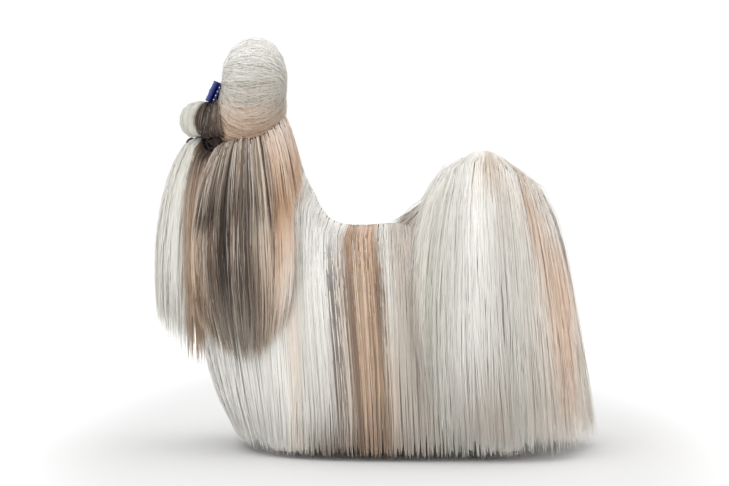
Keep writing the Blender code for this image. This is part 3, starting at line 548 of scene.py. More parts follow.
def hair_normals(across, outs, sheet, loops):
    """Directions that shade the hairs as one surface, turned inwards on their under sides."""
    count, rings = sheet.shape[:2]
    round_out = np.stack([-across, outs, across], axis=2)
    normals = unit(sheet[:, :, None, :] * SOFTNESS + round_out * (1 - SOFTNESS)).reshape(-1, 3)[loops]
    under = np.zeros((count, rings - 1, 3), bool)
    under[..., 2] = True
    under = np.concatenate([np.repeat(under.ravel(), 4), np.zeros(6 * count, bool)])
    normals[under] = -np.repeat(sheet.reshape(-1, 3), 3, axis=0)[loops][under]
    return normals


def hairs(name, drape, count, tint, roots, tips, chance, reach=(0, 1), lie=0.003, sink=0.0135,
          skin_rise=0.005, width=(0.0006, 0.0013), clumps=70, pull=0.35, wave=0.001, rings=7, stray=0.03,
          drift=0, droop=3, relief=0.0006, tangle=0.7, under_share=0.22, under_width=2.6, sag=0,
          cross=0, fly=0.012, fly_out=0.002):
    """Fine hair along a drape, gathered towards its tips, in soft bands over a wider layer, with painted
    shade on the deeper bands.

    Roots and tips lie between two heights v, and reach is the part of the drape's width in use.
    """
    column = (count, 1)
    t = chance.uniform(*reach, column)
    centres = np.sort(chance.uniform(*reach, clumps))
    near = np.argmin(np.abs(t - centres), axis=1)

    def each(low, high):
        return chance.uniform(low, high, (clumps, 1))[near]

    from_v = roots[0] + (roots[1] - roots[0]) * chance.random(column) ** 2
    below_others = chance.random(column) < under_share
    to_v = tips[1] - (tips[1] - tips[0]) * chance.beta(1.2, 2.8, column) - each(0, 0.015)
    s = np.linspace(0, 1, rings)[None, :] ** 0.9
    v = from_v + (to_v - from_v) * s
    place = t + (centres[near, None] - t) * (pull * each(0.3, 1.1) * s ** 3) + drift * v
    place = place + sag * np.sin(math.tau * t) * np.sin(math.pi * v)
    place = place + cross * chance.normal(0, 1, column) * (v - 0.5)
    place = place if drape.closed else np.clip(place, 0, 1)
    points, across, outs = drape.frame(place, v)
    band = bands(t, chance, clumps)
    depth = lie * chance.random(column) ** 1.8 + relief * np.clip(band, -1.5, 1.5)
    depth = np.where(below_others, lie * 0.9 + relief, depth)
    flying = chance.random(column) < fly
    depth = np.where(flying, -fly_out * chance.random(column), depth)
    below = skin_rise + (sink - skin_rise) * smooth(0, 0.12, from_v)
    under = below + (depth - below) * np.sin(np.clip(s / RISE_SHARE, 0, 1) * math.pi / 2)
    phase = each(0, math.tau) + chance.uniform(-tangle, tangle, column)
    turns = each(0.6, 1.6)
    loose = np.where(chance.random(column) < stray, droop, 1)
    sway = wave * loose * s * np.sin(turns * math.tau * s + phase)
    puff = wave * 0.5 * loose * s * np.cos(turns * 5 * s + phase * 1.7)
    points = points - outs * (under + puff)[..., None] + across * sway[..., None]
    roll = chance.uniform(-0.6, 0.6, (count, 1, 1))
    flat = across * np.cos(roll) + outs * np.sin(roll)
    ridge = outs * np.cos(roll) - across * np.sin(roll)
    wide = chance.uniform(*width, column) * np.interp(s, *HAIR_TAPER) / np.sqrt(loose)
    wide = wide * np.where(flying, 0.5, np.where(below_others, under_width, 1))
    tints = tint(t, v, points, chance)
    # partly random tone, partly painted shade: clumps that lie deeper are made a few percent darker
    level = 1 - 0.03 * band + bands(t, chance, clumps * 4, 0.025) + chance.normal(0, 0.025, column)
    spots = np.hstack([(t - reach[0]) / (reach[1] - reach[0]), (from_v - roots[0]) / (roots[1] - roots[0])])
    tall = np.minimum(wide * 0.5, HAIR_HEIGHT)
    return hair_mesh(name, points, flat, ridge, wide, tall, tints * level[..., None], spots, outs)


def short_fur(name, skin, chance, keep, count, flow, length, tint, width=(0.0004, 0.0008), stand=0.3):
    """Short fur rooted on the skin, with more of it where keep is higher."""
    faces = skin.data.polygons
    areas = read(faces, "area", 1)[:, 0] * keep(read(faces, "center"))
    pick = chance.choice(len(areas), count, p=areas / areas.sum())
    root = read(faces, "center")[pick] + chance.normal(0, 0.0006, (count, 3))
    out = read(faces, "normal")[pick]
    way = flow(root) + chance.normal(0, 0.22, (count, 3))
    way = unit(way - out * np.sum(way * out, axis=1, keepdims=True))
    long = length(root) * chance.uniform(0.7, 1.15, count)
    s = np.linspace(0, 1, FUR_RINGS)[None, :, None]
    rise = stand * chance.uniform(0.4, 1.3, (count, 1, 1)) * np.sin(s * 2)
    side = np.cross(way, out)
    curl = chance.normal(0, 0.12, (count, 1, 1)) * s ** 2
    bend = way[:, None] * s + out[:, None] * rise + side[:, None] * curl
    points = root[:, None] - out[:, None] * 0.001 + long[:, None, None] * bend
    wide = chance.uniform(*width, count)[:, None] * np.interp(s[0, :, 0], *FUR_TAPER)[None, :]
    sides, outs = side[:, None] + 0 * points, out[:, None] + 0 * points
    tints = tint(points) * (1 + chance.normal(0, 0.08, (count, 1, 1)))
    low, high = root.min(axis=0), root.max(axis=0)
    around = np.arctan2(root[:, 1], root[:, 0] - (low[0] + high[0]) / 2) / math.tau + 0.5
    up = (root[:, 2] - low[2]) / (high[2] - low[2])
    spots = np.stack([around, up], axis=-1)
    return hair_mesh(name, points, sides, outs, wide, wide * 0.5, tints, spots, outs)


def body_tint(t, v, points, chance):
    """Cream neck, golden patch, beige flank and white rump."""
    x = body_drape().point(t, 0 * t)[..., 0] + jitter(t, chance, 0.0018)
    x = x + 0.003 * v * bands(t, chance, 500)
    base = table(x, v, BODY_MARKS)
    patch = smooth(-0.002, 0.003, x - np.interp(v, *PATCH_FRONT)) * (1 - smooth(-0.006, 0.003, x))
    base = mix(base, BROWN, patch * 0.65 * streaks(t, chance, 420, 0.2, 1))
    base = mix(base, CREAM, patch * 0.5 * streaks(t, chance, 420, 0.4, 1.4))
    hem = smooth(0.9, 0.99, v) * smooth(-0.076, -0.066, x) * (1 - smooth(-0.052, -0.044, x))
    base = mix(base, BROWN, 0.7 * hem)
    return mix(base, FLANK, 0.25 * streaks(t, chance, 200, *STREAK))


def plume_tint(t, v, points, chance):
    """The plume: white with tan streaks and a peach band behind."""
    x = np.maximum(t * 1.2 - 0.2, 0) + jitter(t, chance, 0.018)
    return mix(table(x, v, PLUME_MARKS), FLANK, 0.35 * streaks(t, chance, 90, *STREAK))


def fringe(x, v, t, chance):
    """The ear's colours at x, from 0 in front to 1 behind, with fine dark and light streaks."""
    base = table(x, v, EAR_MARKS)
    middle = smooth(0.04, 0.16, x) * (1 - smooth(0.74, 0.88, x))
    light = streaks(t, chance, 170, 0.3, 1.2) * (1 - 0.3 * smooth(0.45, 0.75, v))
    base = mix(base, BEIGE, middle * 0.5 * light)
    base = mix(base, BEIGE, middle * 0.55 * smooth(0.66, 0.95, v))
    base = mix(base, DARK, middle * 0.75 * streaks(t, chance, 170, 0.3, 1.2))
    alone = chance.random((len(t), 1))
    base = mix(base, BLACK, middle * 0.6 * (alone < 0.14))
    return mix(base, CREAM, middle * 0.5 * (alone > 0.88) * (1 - 0.6 * smooth(0.45, 0.75, v)))


def ear_tint(t, v, points, chance):
    """Beige in front, near black in the middle, orange and cream behind."""
    return fringe(t + jitter(t, chance, 0.012), v, t, chance)


def cheek_tint(t, v, points, chance):
    """Brown hair below the eye, dark at its root and golden lower down."""
    base = table(t + jitter(t, chance, 0.03), v, CHEEK_MARKS)
    base = mix(base, BROWN, 0.6 * streaks(t, chance, 40, 0.4, 1.4))
    return mix(base, BEIGE, 0.5 * streaks(t, chance, 40, 0.4, 1.4))


def crown_tint(t, v, points, chance):
    """Hair from under the topknot, in the ear's colours, with painted shadow at its root."""
    x = (points[:, :1, 0] + 0.187) / 0.075 + jitter(t, chance, 0.012)
    base = fringe(x, 0.06 + 0.42 * v, t, chance)
    # painted shadow: dark near the root, under the topknot's bulb, fading out towards the back
    return mix(base, DARK, 0.8 * (1 - smooth(0.75, 0.95, x)) * (1 - smooth(0.02, 0.12, v)))


def beard_tint(t, v, points, chance):
    """White beard with a faint grey cast, dark behind where it meets the cheek."""
    base = mix(WHITE, SAGE, 0.8 - 0.35 * smooth(0.2, 0.9, v))
    base = mix(base, FLANK, 0.35 * streaks(t, chance, 60, *STREAK))
    behind = np.abs(2 * t - 1) + jitter(t, chance, 0.02) - 0.22 * v
    return mix(base, mix(DARK, TAN, smooth(0.05, 0.3, v)), smooth(0.5, 0.56, behind))


def topknot_tint(t, v, points, chance):
    """The topknot: white above, beige in the middle, peach and tan at its base."""
    z = points[..., 2] + jitter(t, chance, 0.008)
    z = z + 0.004 * bands(t, chance, 260)
    low = 1 - smooth(0.4, 0.45, z)
    fine = chance.random((len(t), 1))
    base = mix(ramp(z, TOPKNOT_MARKS), BROWN, low * 0.65 * (fine < 0.12))
    return mix(base, CREAM, low * 0.4 * (fine > 0.86))


def forelock_tint(t, v, points, chance):
    """The forelock: white in front and dark behind."""
    x = points[..., 0] + jitter(t, chance, 0.0006) + 0.0012 * bands(t, chance, 90)
    past = x - np.interp(points[..., 2], *FORELOCK_EDGE)
    dark = smooth(-0.0005, 0.0015, past)
    base = mix(mix(SAGE, ASH, smooth(-0.0025, -0.0005, past)), DARK, dark)
    alone = chance.random((len(t), 1))
    base = mix(base, BLACK, 0.7 * (alone < 0.25) * dark)
    return mix(base, ASH, smooth(0.004, 0.01, past) * 0.8 * streaks(t, chance, 60, 0, 1.2))


def temple_tint(t, v, points, chance):
    """Dark hair at the temple, greyer towards the topknot."""
    base = mix(BLACK, BROWN, smooth(0.35, 1.2, t + jitter(t, chance, 0.08)))
    base = mix(base, PLUM, 0.8 * (1 - smooth(0.05, 0.35, v)))
    alone = chance.random((len(t), 1))
    base = mix(base, BLACK, 0.7 * (alone < 0.22))
    base = mix(base, FLANK, 0.35 * (alone > 0.88))
    return mix(base, FLANK, 0.5 * streaks(t, chance, 40, 0.6, 1.5) * smooth(0.3, 0.6, v))


def new_material(name, values):
    """A new material and its shader, with values for its inputs."""
    made = bpy.data.materials.new(name)
    made.use_nodes = True
    shader = made.node_tree.nodes["Principled BSDF"]
    for label, value in values.items():
        shader.inputs[label].default_value = value
    return made, shader


def feed(source, output, target, label):
    """Links an output of one node to an input of another."""
    target.id_data.links.new(source.outputs[output], target.inputs[label])


def new_node(made, kind, values=None, fed=None, **settings):
    """A node, with values for its inputs or the (node, output) that feeds them."""
    node = made.node_tree.nodes.new("ShaderNode" + kind)
    for label, value in settings.items():
        setattr(node, label, value)
    for label, value in (values or {}).items():
        node.inputs[label].default_value = value
    for label, (source, output) in (fed or {}).items():
        feed(source, output, node, label)
    return node


def hair_material(name, roughness):
    """Hair coloured by its tint, with finer streaks along it."""
    made, shader = new_material(name, {"Roughness": roughness, "Specular IOR Level": 0.35,
                                       "Sheen Weight": 0.15})
    tint = new_node(made, "VertexColor", layer_name="Tint")
    place = new_node(made, "TexCoord")
    grain = new_node(made, "Mapping", {"Scale": (900, 900, 40)}, {"Vector": (place, "Object")})
    noise = new_node(made, "TexNoise", {"Scale": 1, "Detail": 2}, {"Vector": (grain, "Vector")})
    spread = new_node(made, "MapRange", {"To Min": 0.9, "To Max": 1.08}, {"Value": (noise, "Fac")})
    scale = new_node(made, "VectorMath", None, {0: (tint, "Color"), "Scale": (spread, "Result")},
                     operation="SCALE")
    feed(scale, "Vector", shader, "Base Color")
    return made


def plain_material(name, colour, values, bump=0, scale=300):
    """One colour with fine variation and bump, and values for its shader."""
    made, shader = new_material(name, values)
    noise = new_node(made, "TexNoise", {"Scale": scale})
    shades = {"A": (*(colour * 0.8), 1), "B": (*np.minimum(colour * 1.15, 1), 1)}
    blend = new_node(made, "Mix", shades, {"Factor": (noise, "Fac")}, data_type="RGBA")
    feed(blend, "Result", shader, "Base Color")
    if bump:
        lift = new_node(made, "Bump", {"Strength": bump, "Distance": 0.0005}, {"Height": (noise, "Fac")})
        feed(lift, "Normal", shader, "Normal")
    return made


def ellipsoid(centre, radii, around=24, rings=14):
    """The faces of an ellipsoid."""
    build = bmesh.new()
    bmesh.ops.create_uvsphere(build, u_segments=around, v_segments=rings, radius=1)
    for vertex in build.verts:
        vertex.co = vec(centre) + vec(vertex.co) * radii
    return build


def tube(path, radii, sides=14):
    """A round tube through the points of a path."""
    rows = []
    for k, (centre, radius) in enumerate(zip(path, radii)):
        way = unit(path[min(k + 1, len(path) - 1)] - path[max(k - 1, 0)])
        side = unit(np.cross(way, (0, 1, 0)))
        other = np.cross(way, side)
        rows.append([centre + radius * (side * math.cos(a) + other * math.sin(a)) for a in angles(sides)])
    build, rows = sew(rows)
    build.faces.new(rows[0][::-1])
    build.faces.new(rows[-1])
    return build


def core_rows(drape, t, heights, depths):
    """Rows of points at depths below a drape."""
    frames = [drape.frame(t, np.full(len(t), v)) for v in heights]
    return [points - outs * depth for (points, _, outs), depth in zip(frames, depths)]


def body_core(around=60):
    """The trunk under the coat."""
    v = np.linspace(0, CORE_END, 12)
    depths = SKIN_RISE + (SKIN_DEPTH - SKIN_RISE) * smooth(0, 0.25, v) + SKIN_TUCK * (v / CORE_END) ** 3
    build, rows = sew(core_rows(body_drape(), np.arange(around) / around, v, depths))
    for row in (rows[0], rows[-1]):
        for k in range(around // 2):
            corners = [row[c % around] for c in (k, k + 1, around - k - 1, around - k)]
            corners = list(dict.fromkeys(corners))
            if len(corners) > 2:
                build.faces.new(corners)
    bmesh.ops.recalc_face_normals(build, faces=build.faces)
    return build


def leg(path, side):
    """One leg and its paw."""
    keys = vec([(x, side * y, z, r) for x, y, z, r in path])
    points = spline(keys, np.linspace(0, 1, 12))
    x, y, _ = points[-1][:3]
    paw = ellipsoid((x - PAW_FORWARD, y, PAW_HEIGHT * 0.42),
                    (PAW_LENGTH / 2, PAW_WIDTH / 2, PAW_HEIGHT * 0.56))
    for vertex in paw.verts:
        vertex.co.z = max(vertex.co.z, SOLE_HEIGHT)
    return [tube(points[:, :3], points[:, 3]), paw]


def flesh_parts():
    """Trunk, skull, muzzle, jaw, tail, legs and the swell round the eyes."""
    parts = [body_core(), ellipsoid(*SKULL, 32, 20), ellipsoid(*MUZZLE), ellipsoid(*JAW)]
    shares = np.linspace(0, 1, 14)
    radii = np.interp(shares, np.linspace(0, 1, len(TAIL_RADII)), TAIL_RADII)
    parts.append(tube(spline(vec(TAIL_PATH), shares), radii))
    for side in (LEFT, RIGHT):
        parts += leg(FRONT_LEG, side) + leg(HIND_LEG, side)
        parts.append(ellipsoid(sided(EYE_CENTRE, side), (EYE_RADIUS + SOCKET_SWELL,) * 3))
    return parts


def skin_piece():
    """One smooth skin over trunk, head, tail and legs."""
    whole = bmesh.new()
    for build in flesh_parts():
        bmesh.ops.triangulate(build, faces=build.faces)
        piece = bpy.data.meshes.new("part")
        build.to_mesh(piece)
        build.free()
        whole.from_mesh(piece)
        bpy.data.meshes.remove(piece)
    skin = built("skin", whole)
    remesh = skin.modifiers.new("remesh", "REMESH")
    remesh.mode = "VOXEL"
    remesh.voxel_size = VOXEL
    relax = skin.modifiers.new("relax", "SMOOTH")
    relax.factor = 0.6
    relax.iterations = 6
    graph = bpy.context.evaluated_depsgraph_get()
    mesh = bpy.data.meshes.new_from_object(skin.evaluated_get(graph))
    skin.modifiers.clear()
    skin.data = mesh
    open_eyes(skin)
    paint(mesh, skin_tint(read(mesh.vertices, "co")))
    fill(mesh.polygons, "use_smooth", np.ones(len(mesh.polygons)), bool)
    return skin


def open_eyes(skin):
    """Sinks the skin over each eyeball's front, so that the eye shows."""
    for side in (LEFT, RIGHT):
        centre, gaze = sided(EYE_CENTRE, side), unit(sided(GAZE, side))
        for vertex in skin.data.vertices:
            away = vec(vertex.co) - centre
            far = np.linalg.norm(away)
            if far < EYE_RADIUS * 1.5 and away @ gaze > 0:
                across = np.linalg.norm(away - gaze * (away @ gaze))
                if across < LID_EDGE:
                    vertex.co = centre + away / far * EYE_RADIUS * 0.8


def skin_tint(points):
    """The coat's markings on the skin below it."""
    x, z = points[:, 0], points[:, 2]
    head = smooth(0.3, 0.312, z) * (1 - smooth(-0.12, -0.1, x))
    return mix(ramp(x, SKIN_BODY), ramp(x, SKIN_HEAD), head)


def body_coat(add):
    """The coat from the parting to the floor, and a short layer inside its hem, made darker as painted
    shade.
    """
    body = body_drape()
    roots = (0, 0.5)
    add("white", ["chest"], "chest", body, 1700, body_tint, roots, (0.88, 1),
        reach=(-0.078, 0.078), clumps=80, wave=0.0018)
    # painted shade: the layer inside the hem takes the body's tint made a tenth darker
    add("white", [], "under", body, 950, lambda *hair: body_tint(*hair) * 0.9, (0.4, 0.46),
        (0.93, 0.98), clumps=200, lie=0.004, sink=0.012, skin_rise=0.012, width=(0.0055, 0.009), pull=0,
        rings=5, relief=0.0002, under_share=1, under_width=1, fly=0)
    for part, low, high, count, slot, clumps, drift in BODY_SPANS:
        for side, hand in SIDES:
            add(slot, [f"{part}_{hand}"], f"{part}_{hand}", body, count, body_tint, roots, (0.9, 1),
                reach=(1 - high, 1 - low) if side == RIGHT else (low, high), clumps=clumps,
                drift=-side * drift)


def head_coat(add):
    """Long hair of the head."""
    chin = Drape(np.concatenate([sided(CHIN_ROWS, LEFT), sided(CHIN_ROWS[::-1], RIGHT)]))
    add("white", ["moustache"], "beard", mirrored_drape(BEARD_ROWS, -1), 2600, beard_tint,
        (0, 0.32), (0.74, 1.03), clumps=90, sink=0.009, wave=0.0022, skin_rise=0.003)
    add("white", [], "chin", chin, 260, beard_tint, (0, 0.2), (0.8, 1),
        clumps=12, sink=0.004, lie=0.004)
    add("white", ["topknot"], "topknot", topknot_drape(), 2500, topknot_tint, (0, 0.05),
        (0.9, 1), roughness=0.45, reach=(-0.5, 0.5), clumps=420, sink=0.004, skin_rise=0.004,
        lie=0.0018, width=(0.0004, 0.001), wave=0.002, pull=0, rings=10, stray=0.12, droop=2.2,
        relief=0.0002, tangle=3, sag=0.075, cross=0.06, fly=0.05, fly_out=0.003)
    add("white", ["forelock"], "forelock", forelock_drape(), 1100, forelock_tint, (0, 0.05),
        (0.96, 1), clumps=120, sink=0.002, skin_rise=0.002, lie=0.0016, width=(0.0004, 0.0009),
        wave=0.0005, pull=0, rings=9, stray=0.02, relief=0.0002, cross=0.02, fly=0.02, fly_out=0.001)
    add("cream", [], "crown", mirrored_drape(CROWN_ROWS), 1800, crown_tint, (0, 0.25),
        (0.5, 1), clumps=110, sink=0.01, skin_rise=0.006, lie=0.005)
    for side, hand in SIDES:
        ear, cheek, temple = (sided(rows, side) for rows in (EAR_ROWS, CHEEK_ROWS, TEMPLE_ROWS))
        add("dark", [f"ear_{hand}"], f"ear_{hand}", Drape(ear, hand=side), 2100, ear_tint,
            (0, 0.3), (0.68, 1), clumps=60, sink=0.008, pull=0.6, wave=0.0018)
        add("dark", [], f"cheek_{hand}", Drape(cheek, hand=side), 700, cheek_tint, (0, 0.25),
            (0.7, 1), clumps=30, sink=0.006, lie=0.005)
        add("dark", [], f"temple_{hand}", Drape(temple, hand=-side), 640, temple_tint,
            (0, 0.3), (0.88, 1), clumps=90, sink=0.004, width=(0.0004, 0.0009), wave=0.0014, pull=0.1,
            relief=0.0004, tangle=2, cross=0.1, fly=0.05, fly_out=0.0015)


def plume_coat(add):
    """The plume that falls from the tail to both sides."""
    for side, hand in SIDES:
        add("white", [f"plume_{hand}"], f"plume_{hand}", Drape(sided(PLUME_ROWS, side), hand=side),
            3350, plume_tint, (0, 0.35), (0.82, 1), clumps=110, sink=0.006, skin_rise=0.004, wave=0.003,
            pull=0.5, lie=0.004, tangle=1.6, stray=0.05, droop=2.4, fly=0.03, fly_out=0.005)


def around_eye(points):
    """Distance from the nearer eye's centre."""
    left, right = (np.linalg.norm(points - sided(EYE_CENTRE, side), axis=-1) for side in (LEFT, RIGHT))
    return np.minimum(left, right)


def face_flow(points):
    """The lie of the face's fur: away from the eye and back from the nose."""
    side = np.sign(points[:, 1:2])
    eye = vec(EYE_CENTRE) * np.concatenate([side * 0 + 1, side, side * 0 + 1], axis=1)
    away = unit(points - eye)
    back = unit(points - vec(NOSE_CENTRE) + (0, 0, 0.004))
    near = np.exp(-(around_eye(points)[:, None] / 0.017) ** 2)
    droop = vec((0, 0, -0.25)) - near * vec((0.1, 0, 1.1))
    return unit(0.5 * away * near + back * (1 - near) + droop)


def face_keep(points):
    """Share of short fur on the face, none over the eyes."""
    face = smooth(0.298, 0.304, points[:, 2]) * (points[:, 0] < -0.15)
    clear = np.ones(len(points), bool)
    for side in (LEFT, RIGHT):
        away = points - sided(EYE_CENTRE, side)
        gaze = unit(sided(GAZE, side))
        ahead = away @ gaze
        across = np.linalg.norm(away - ahead[:, None] * gaze, axis=1)
        clear &= ~((ahead > 0) & (across < LID_EDGE + 0.0006))
    near = 0.2 + np.exp(-(around_eye(points) / 0.02) ** 2) + (points[:, 0] < -0.2)
    return face * clear * near


def face_tint(points):
    """Short fur: dark purple-brown round the eye, pale grey on the muzzle."""
    x = points[..., 0]
    base = mix(SAGE, PLUM, smooth(-0.207, -0.2025, x))
    base = mix(base, ASH, smooth(0.022, 0.032, around_eye(points)) * smooth(-0.2, -0.19, x))
    speck = np.sin(points[:, :1] @ vec((9100, 5300, 7700)))
    return mix(base, BROWN, 0.55 * (speck > 0.55) * smooth(-0.205, -0.2015, x))


def short_coat(skin, chance):
    """Short fur of the face, the legs and the paws."""
    face = short_fur("coat_face", skin, chance, face_keep, 2900, face_flow,
                     lambda p: 0.0055 + 0.3 * np.clip(around_eye(p) - 0.012, 0, 0.02), face_tint, stand=0.45)
    legs = short_fur("coat_legs", skin, chance, lambda p: p[:, 2] < LEG_TOP, 500,
                     lambda p: 0 * p + (-0.15, 0, -1), lambda p: 0.006 + 0.1 * p[:, 2],
                     lambda p: 0 * p + CREAM, width=(0.0016, 0.0026))
    return [(face, [], "coat_dark", 0.5), (legs, [], "coat_cream", 0.5)]


def coat_pieces(skin, chance):
    """Each piece of the coat with its nodes, slot and roughness."""
    made = []

    def add(slot, nodes, name, *shape, roughness=0.5, **look):
        made.append((hairs(f"coat_{name}", *shape, chance, **look), nodes, f"coat_{slot}", roughness))

    body_coat(add)
    plume_coat(add)
    head_coat(add)
    return made + short_coat(skin, chance)


def core_bulb(name, drape, depth, look, axis, line):
    """A smooth core under a bulb of hair."""
    around, along = 40, 20
    t = np.arange(around) / around if drape.closed else np.linspace(0, 1, around)
    build, rows = sew(core_rows(drape, t, np.linspace(0.03, 0.97, along), np.full(along, depth)))
    build.faces.new(rows[0][::-1])
    build.faces.new(rows[-1])
    bmesh.ops.recalc_face_normals(build, faces=build.faces)
    made = built(name, build)
    paint(made.data, ramp(read(made.data.vertices, "co")[:, axis], line))
    finish_piece(made, look, [])


def finish_piece(piece, material, nodes):
    """Gives a piece its material and body, and hides the model's nodes that it stands in for."""
    piece.data.materials.clear()
    piece.data.materials.append(material)
    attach(piece, "root")
    if nodes:
        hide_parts(*nodes)


def lid(side):
    """A leathery rim round the eye's almond opening."""
    centre, gaze = sided(EYE_CENTRE, side), unit(sided(GAZE, side))
    level = unit(np.cross(gaze, (0, 0, 1)))
    up = np.cross(level, gaze)
    rows = []
    for turn in angles(48):
        way = level * math.cos(turn) + up * math.sin(turn)
        opening = LID_OPENING - LID_NARROWING * abs(math.sin(turn)) ** 1.5
        row = []
        for angle, radius in LID_RIM:
            polar = opening + math.radians(angle)
            ray = gaze * math.cos(polar) + way * math.sin(polar)
            row.append(centre + EYE_RADIUS * radius * ray)
        rows.append(row)
    return sew(rows, ring=True)[0]


def eyes_and_nose():
    """Eyeballs between their lids, and the nose with its nostrils."""
    rim = plain_material("lid_leather", srgb(34, 26, 26), {"Roughness": 0.35}, 0.5, 900)
    for side, hand in SIDES:
        build = ellipsoid(sided(EYE_CENTRE, side), (EYE_RADIUS * 0.97,) * 3, 48, 32)
        wet = {"Roughness": 0.06, "Coat Weight": 0.2, "Coat Roughness": 0.02, "Specular IOR Level": 0.1}
        brown = plain_material("eye_brown", srgb(30, 18, 13), wet, scale=700)
        finish_piece(built(f"ball_eye_{hand}", build), brown, [f"eye_{hand}"])
        finish_piece(built(f"lid_{hand}", lid(side)), rim, [])
    build = ellipsoid(NOSE_CENTRE, NOSE_RADII, 56, 40)
    for vertex in build.verts:
        x, y, z = vec(vertex.co) - NOSE_CENTRE
        for (off_y, off_z, size, depth), end in ((NOSTRIL, 0), (WING, 0.001)):
            near = math.exp(-((abs(y) - off_y) ** 2 + (z - off_z) ** 2) / size ** 2)
            vertex.co.x += depth * near * (x < end)
        vertex.co.x += GROOVE_DEPTH * math.exp(-(y / GROOVE_SIZE) ** 2) * (x < 0) * (z < 0.003)
        vertex.co.z = NOSE_CENTRE[2] + z * (1 - 0.12 * (z > 0) * abs(y) / NOSE_RADII[1])
    black = plain_material("nose_black", srgb(30, 27, 28), {"Roughness": 0.36}, 0.9, 1500)
    finish_piece(built("nose_leather", build), black, ["nose"])


def bow_place(y, depth, height):
    """A point of the bow: along Y, out of its face and along the ribbon's width."""
    sin, cos = math.sin(BOW_TILT), math.cos(BOW_TILT)
    return vec(BOW_CENTRE) + (height * sin - depth * cos, y, height * cos + depth * sin)


def ribbon_loop(name, outline, look, nodes, width, shift):
    """A loop of ribbon round (y, depth) points, with picots along both edges."""
    outline = vec(outline)
    ahead = np.roll(outline, -1, axis=0) - np.roll(outline, 1, axis=0)
    normal = unit(np.stack([ahead[:, 1], -ahead[:, 0]], axis=1))
    rows = []
    for k in range(len(outline)):
        picot = PICOT * (k % 2)
        heights = np.concatenate([[-0.5 * width - picot], np.linspace(-0.5, 0.5, 7) * width,
                                  [0.5 * width + picot]])
        row = []
        for face in (0.5, -0.5):
            for height in heights[::int(2 * face)]:
                rim = SELVEDGE * (abs(height) > 0.43 * width)
                y, deep = outline[k] + normal[k] * face * (BOW_SHEET + rim)
                row.append(bow_place(y, deep - shift, height))
        rows.append(row)
    finish_piece(built(name, sew(rows, ring=True)[0]), look, nodes)


def bow():
    """The bow's loops, knot and stones, and the band round the hair."""
    blue = plain_material("ribbon_blue", RIBBON_BLUE, {"Roughness": 0.45}, 0.5, 1600)
    navy = plain_material("ribbon_navy", srgb(34, 44, 110), {"Roughness": 0.5}, 0.5, 1600)
    for side, hand in SIDES:
        for part, size, shift, look in (("front", 1, 0, blue), ("back", 0.86, BACK_SHIFT, navy)):
            outline = []
            for a in angles(64):
                along = 0.5 - 0.5 * math.cos(a)
                swell = BOW_DEPTH * 0.32 * size * math.sin(a) * (0.35 + 0.65 * along ** 0.7)
                outline.append((side * (LOOP_START + along * (BOW_REACH * size - 0.001)), swell))
            nodes = [f"bow_{hand}"] if part == "front" else []
            ribbon_loop(f"bow_{part}_{hand}", outline, look, nodes, BOW_RIBBON * size, shift)
    build = ellipsoid((0, 0, 0), KNOT_RADII, 28, 18)
    for vertex in build.verts:
        x, y, z = vertex.co
        crease = 1 - 0.14 * math.cos(6 * math.atan2(y, x)) ** 2
        vertex.co = bow_place(y * crease, -x * crease, z)
    finish_piece(built("bow_middle", build), blue, ["bow_knot"])
    stones()
    band()


def stones():
    """Small faceted stones along the ribbon."""
    glass = {"Roughness": 0.04, "Coat Weight": 1}
    look = plain_material("stone", srgb(232, 236, 245), glass, scale=50)
    build = bmesh.new()
    for side in (LEFT, RIGHT):
        for height in STONE_HEIGHTS:
            for y, depth in STONE_ROWS:
                made = bmesh.ops.create_icosphere(build, subdivisions=1, radius=STONE_RADIUS)
                for vertex in made["verts"]:
                    vertex.co = vec(vertex.co) + bow_place(side * y, depth, height)
    finish_piece(built("bow_stones", build, smooth_faces=False), look, [])


def band():
    """The elastic band, ribbed round its section."""
    axis = unit(vec(BAND_AXIS))
    other = np.cross(axis, (0, 1, 0))
    rows = []
    for a in angles(80):
        way = vec((0, 1, 0)) * math.cos(a) + other * math.sin(a)
        rib = 1 + 0.1 * math.sin(20 * a)
        rows.append([vec(BAND_CENTRE) + way * (BAND_RADIUS + BAND_THICK * math.cos(b) * rib)
                     + axis * BAND_WIDE * math.sin(b) * rib for b in angles(12)])
    blue = plain_material("band_blue", srgb(36, 44, 104), {"Roughness": 0.7}, 0.5, 800)
    finish_piece(built("band_ring", sew(rows, ring=True)[0]), blue, ["hair_band"])


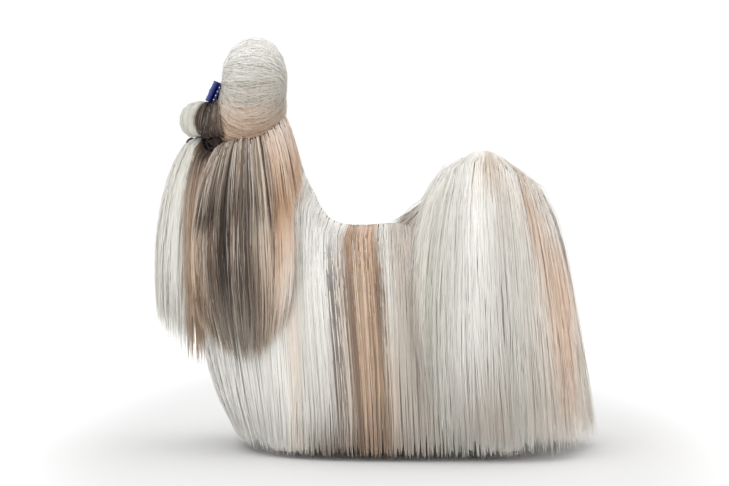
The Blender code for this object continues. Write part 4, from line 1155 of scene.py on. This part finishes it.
def floor_material():
    """A pale floor with a broad soft shadow painted round the dog."""
    made, shader = new_material("floor", {"Roughness": 0.85})
    place = new_node(made, "TexCoord")
    stretch = new_node(made, "Mapping", {"Scale": (1 / SHADE_REACH[0], 1 / SHADE_REACH[1], 1)},
                       {"Vector": (place, "Object")})
    far = new_node(made, "VectorMath", None, {0: (stretch, "Vector")}, operation="LENGTH")
    # painted shadow: the floor is darker near the dog and lightens smoothly to FLOOR_FAR
    shade = new_node(made, "MapRange", {"From Min": 0.55, "To Min": FLOOR_SHADE, "To Max": FLOOR_FAR},
                     {"Value": (far, "Value")}, interpolation_type="SMOOTHSTEP")
    feed(shade, "Result", shader, "Base Color")
    return made


def stage():
    """Floor, light and camera."""
    scene = bpy.context.scene
    mesh = bpy.data.meshes.new("floor")
    mesh.from_pydata([(-60, -30, 0), (60, -30, 0), (60, 90, 0), (-60, 90, 0)], [], [(0, 1, 2, 3)])
    floor = link("floor", mesh)
    mesh.materials.append(floor_material())
    scene.world = bpy.data.worlds.new("studio")
    scene.world.use_nodes = True
    light = scene.world.node_tree.nodes["Background"].inputs
    light["Color"].default_value = (1, 1, 1, 1)
    light["Strength"].default_value = WORLD_LIGHT
    for name, place, size, power in LAMPS:
        lamp = bpy.data.lights.new(name, "AREA")
        lamp.size = size
        lamp.energy = power
        made = link(name, lamp)
        made.location = place
        x, y, z = vec(place) - LAMP_AIM
        made.rotation_euler = (math.acos(z / math.hypot(x, y, z)), 0, math.atan2(y, x) + math.pi / 2)
    lens = bpy.data.cameras.new("camera")
    lens.lens = CAMERA_LENS
    lens.sensor_width = 36
    camera = link("camera", lens)
    away = vec((0, -math.cos(CAMERA_RISE), math.sin(CAMERA_RISE)))
    camera.location = CAMERA_AIM + CAMERA_DISTANCE * away
    camera.rotation_euler = (math.pi / 2 - CAMERA_RISE, 0, 0)
    scene.camera = camera
    scene.view_settings.view_transform = "Standard"


def main():
    """Builds the whole scene."""
    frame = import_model()
    stage()
    chance = np.random.default_rng(SEED)
    skin_look = hair_material("short_fur", 0.75)
    skin = skin_piece()
    flesh = [name for name in frame["nodes"] if name.startswith(FLESH)]
    finish_piece(skin, skin_look, flesh)
    looks = {}
    for piece, nodes, slot, roughness in coat_pieces(skin, chance):
        key = (slot, roughness)
        if key not in looks:
            looks[key] = hair_material(f"hair_{slot}_{int(roughness * 100)}", roughness)
        finish_piece(piece, looks[key], nodes)
    core_bulb("topknot_core", topknot_drape(), 0.0045, skin_look, 2, TOPKNOT_CORE)
    core_bulb("forelock_core", forelock_drape(), 0.0022, skin_look, 0, FORELOCK_CORE)
    eyes_and_nose()
    bow()


main()
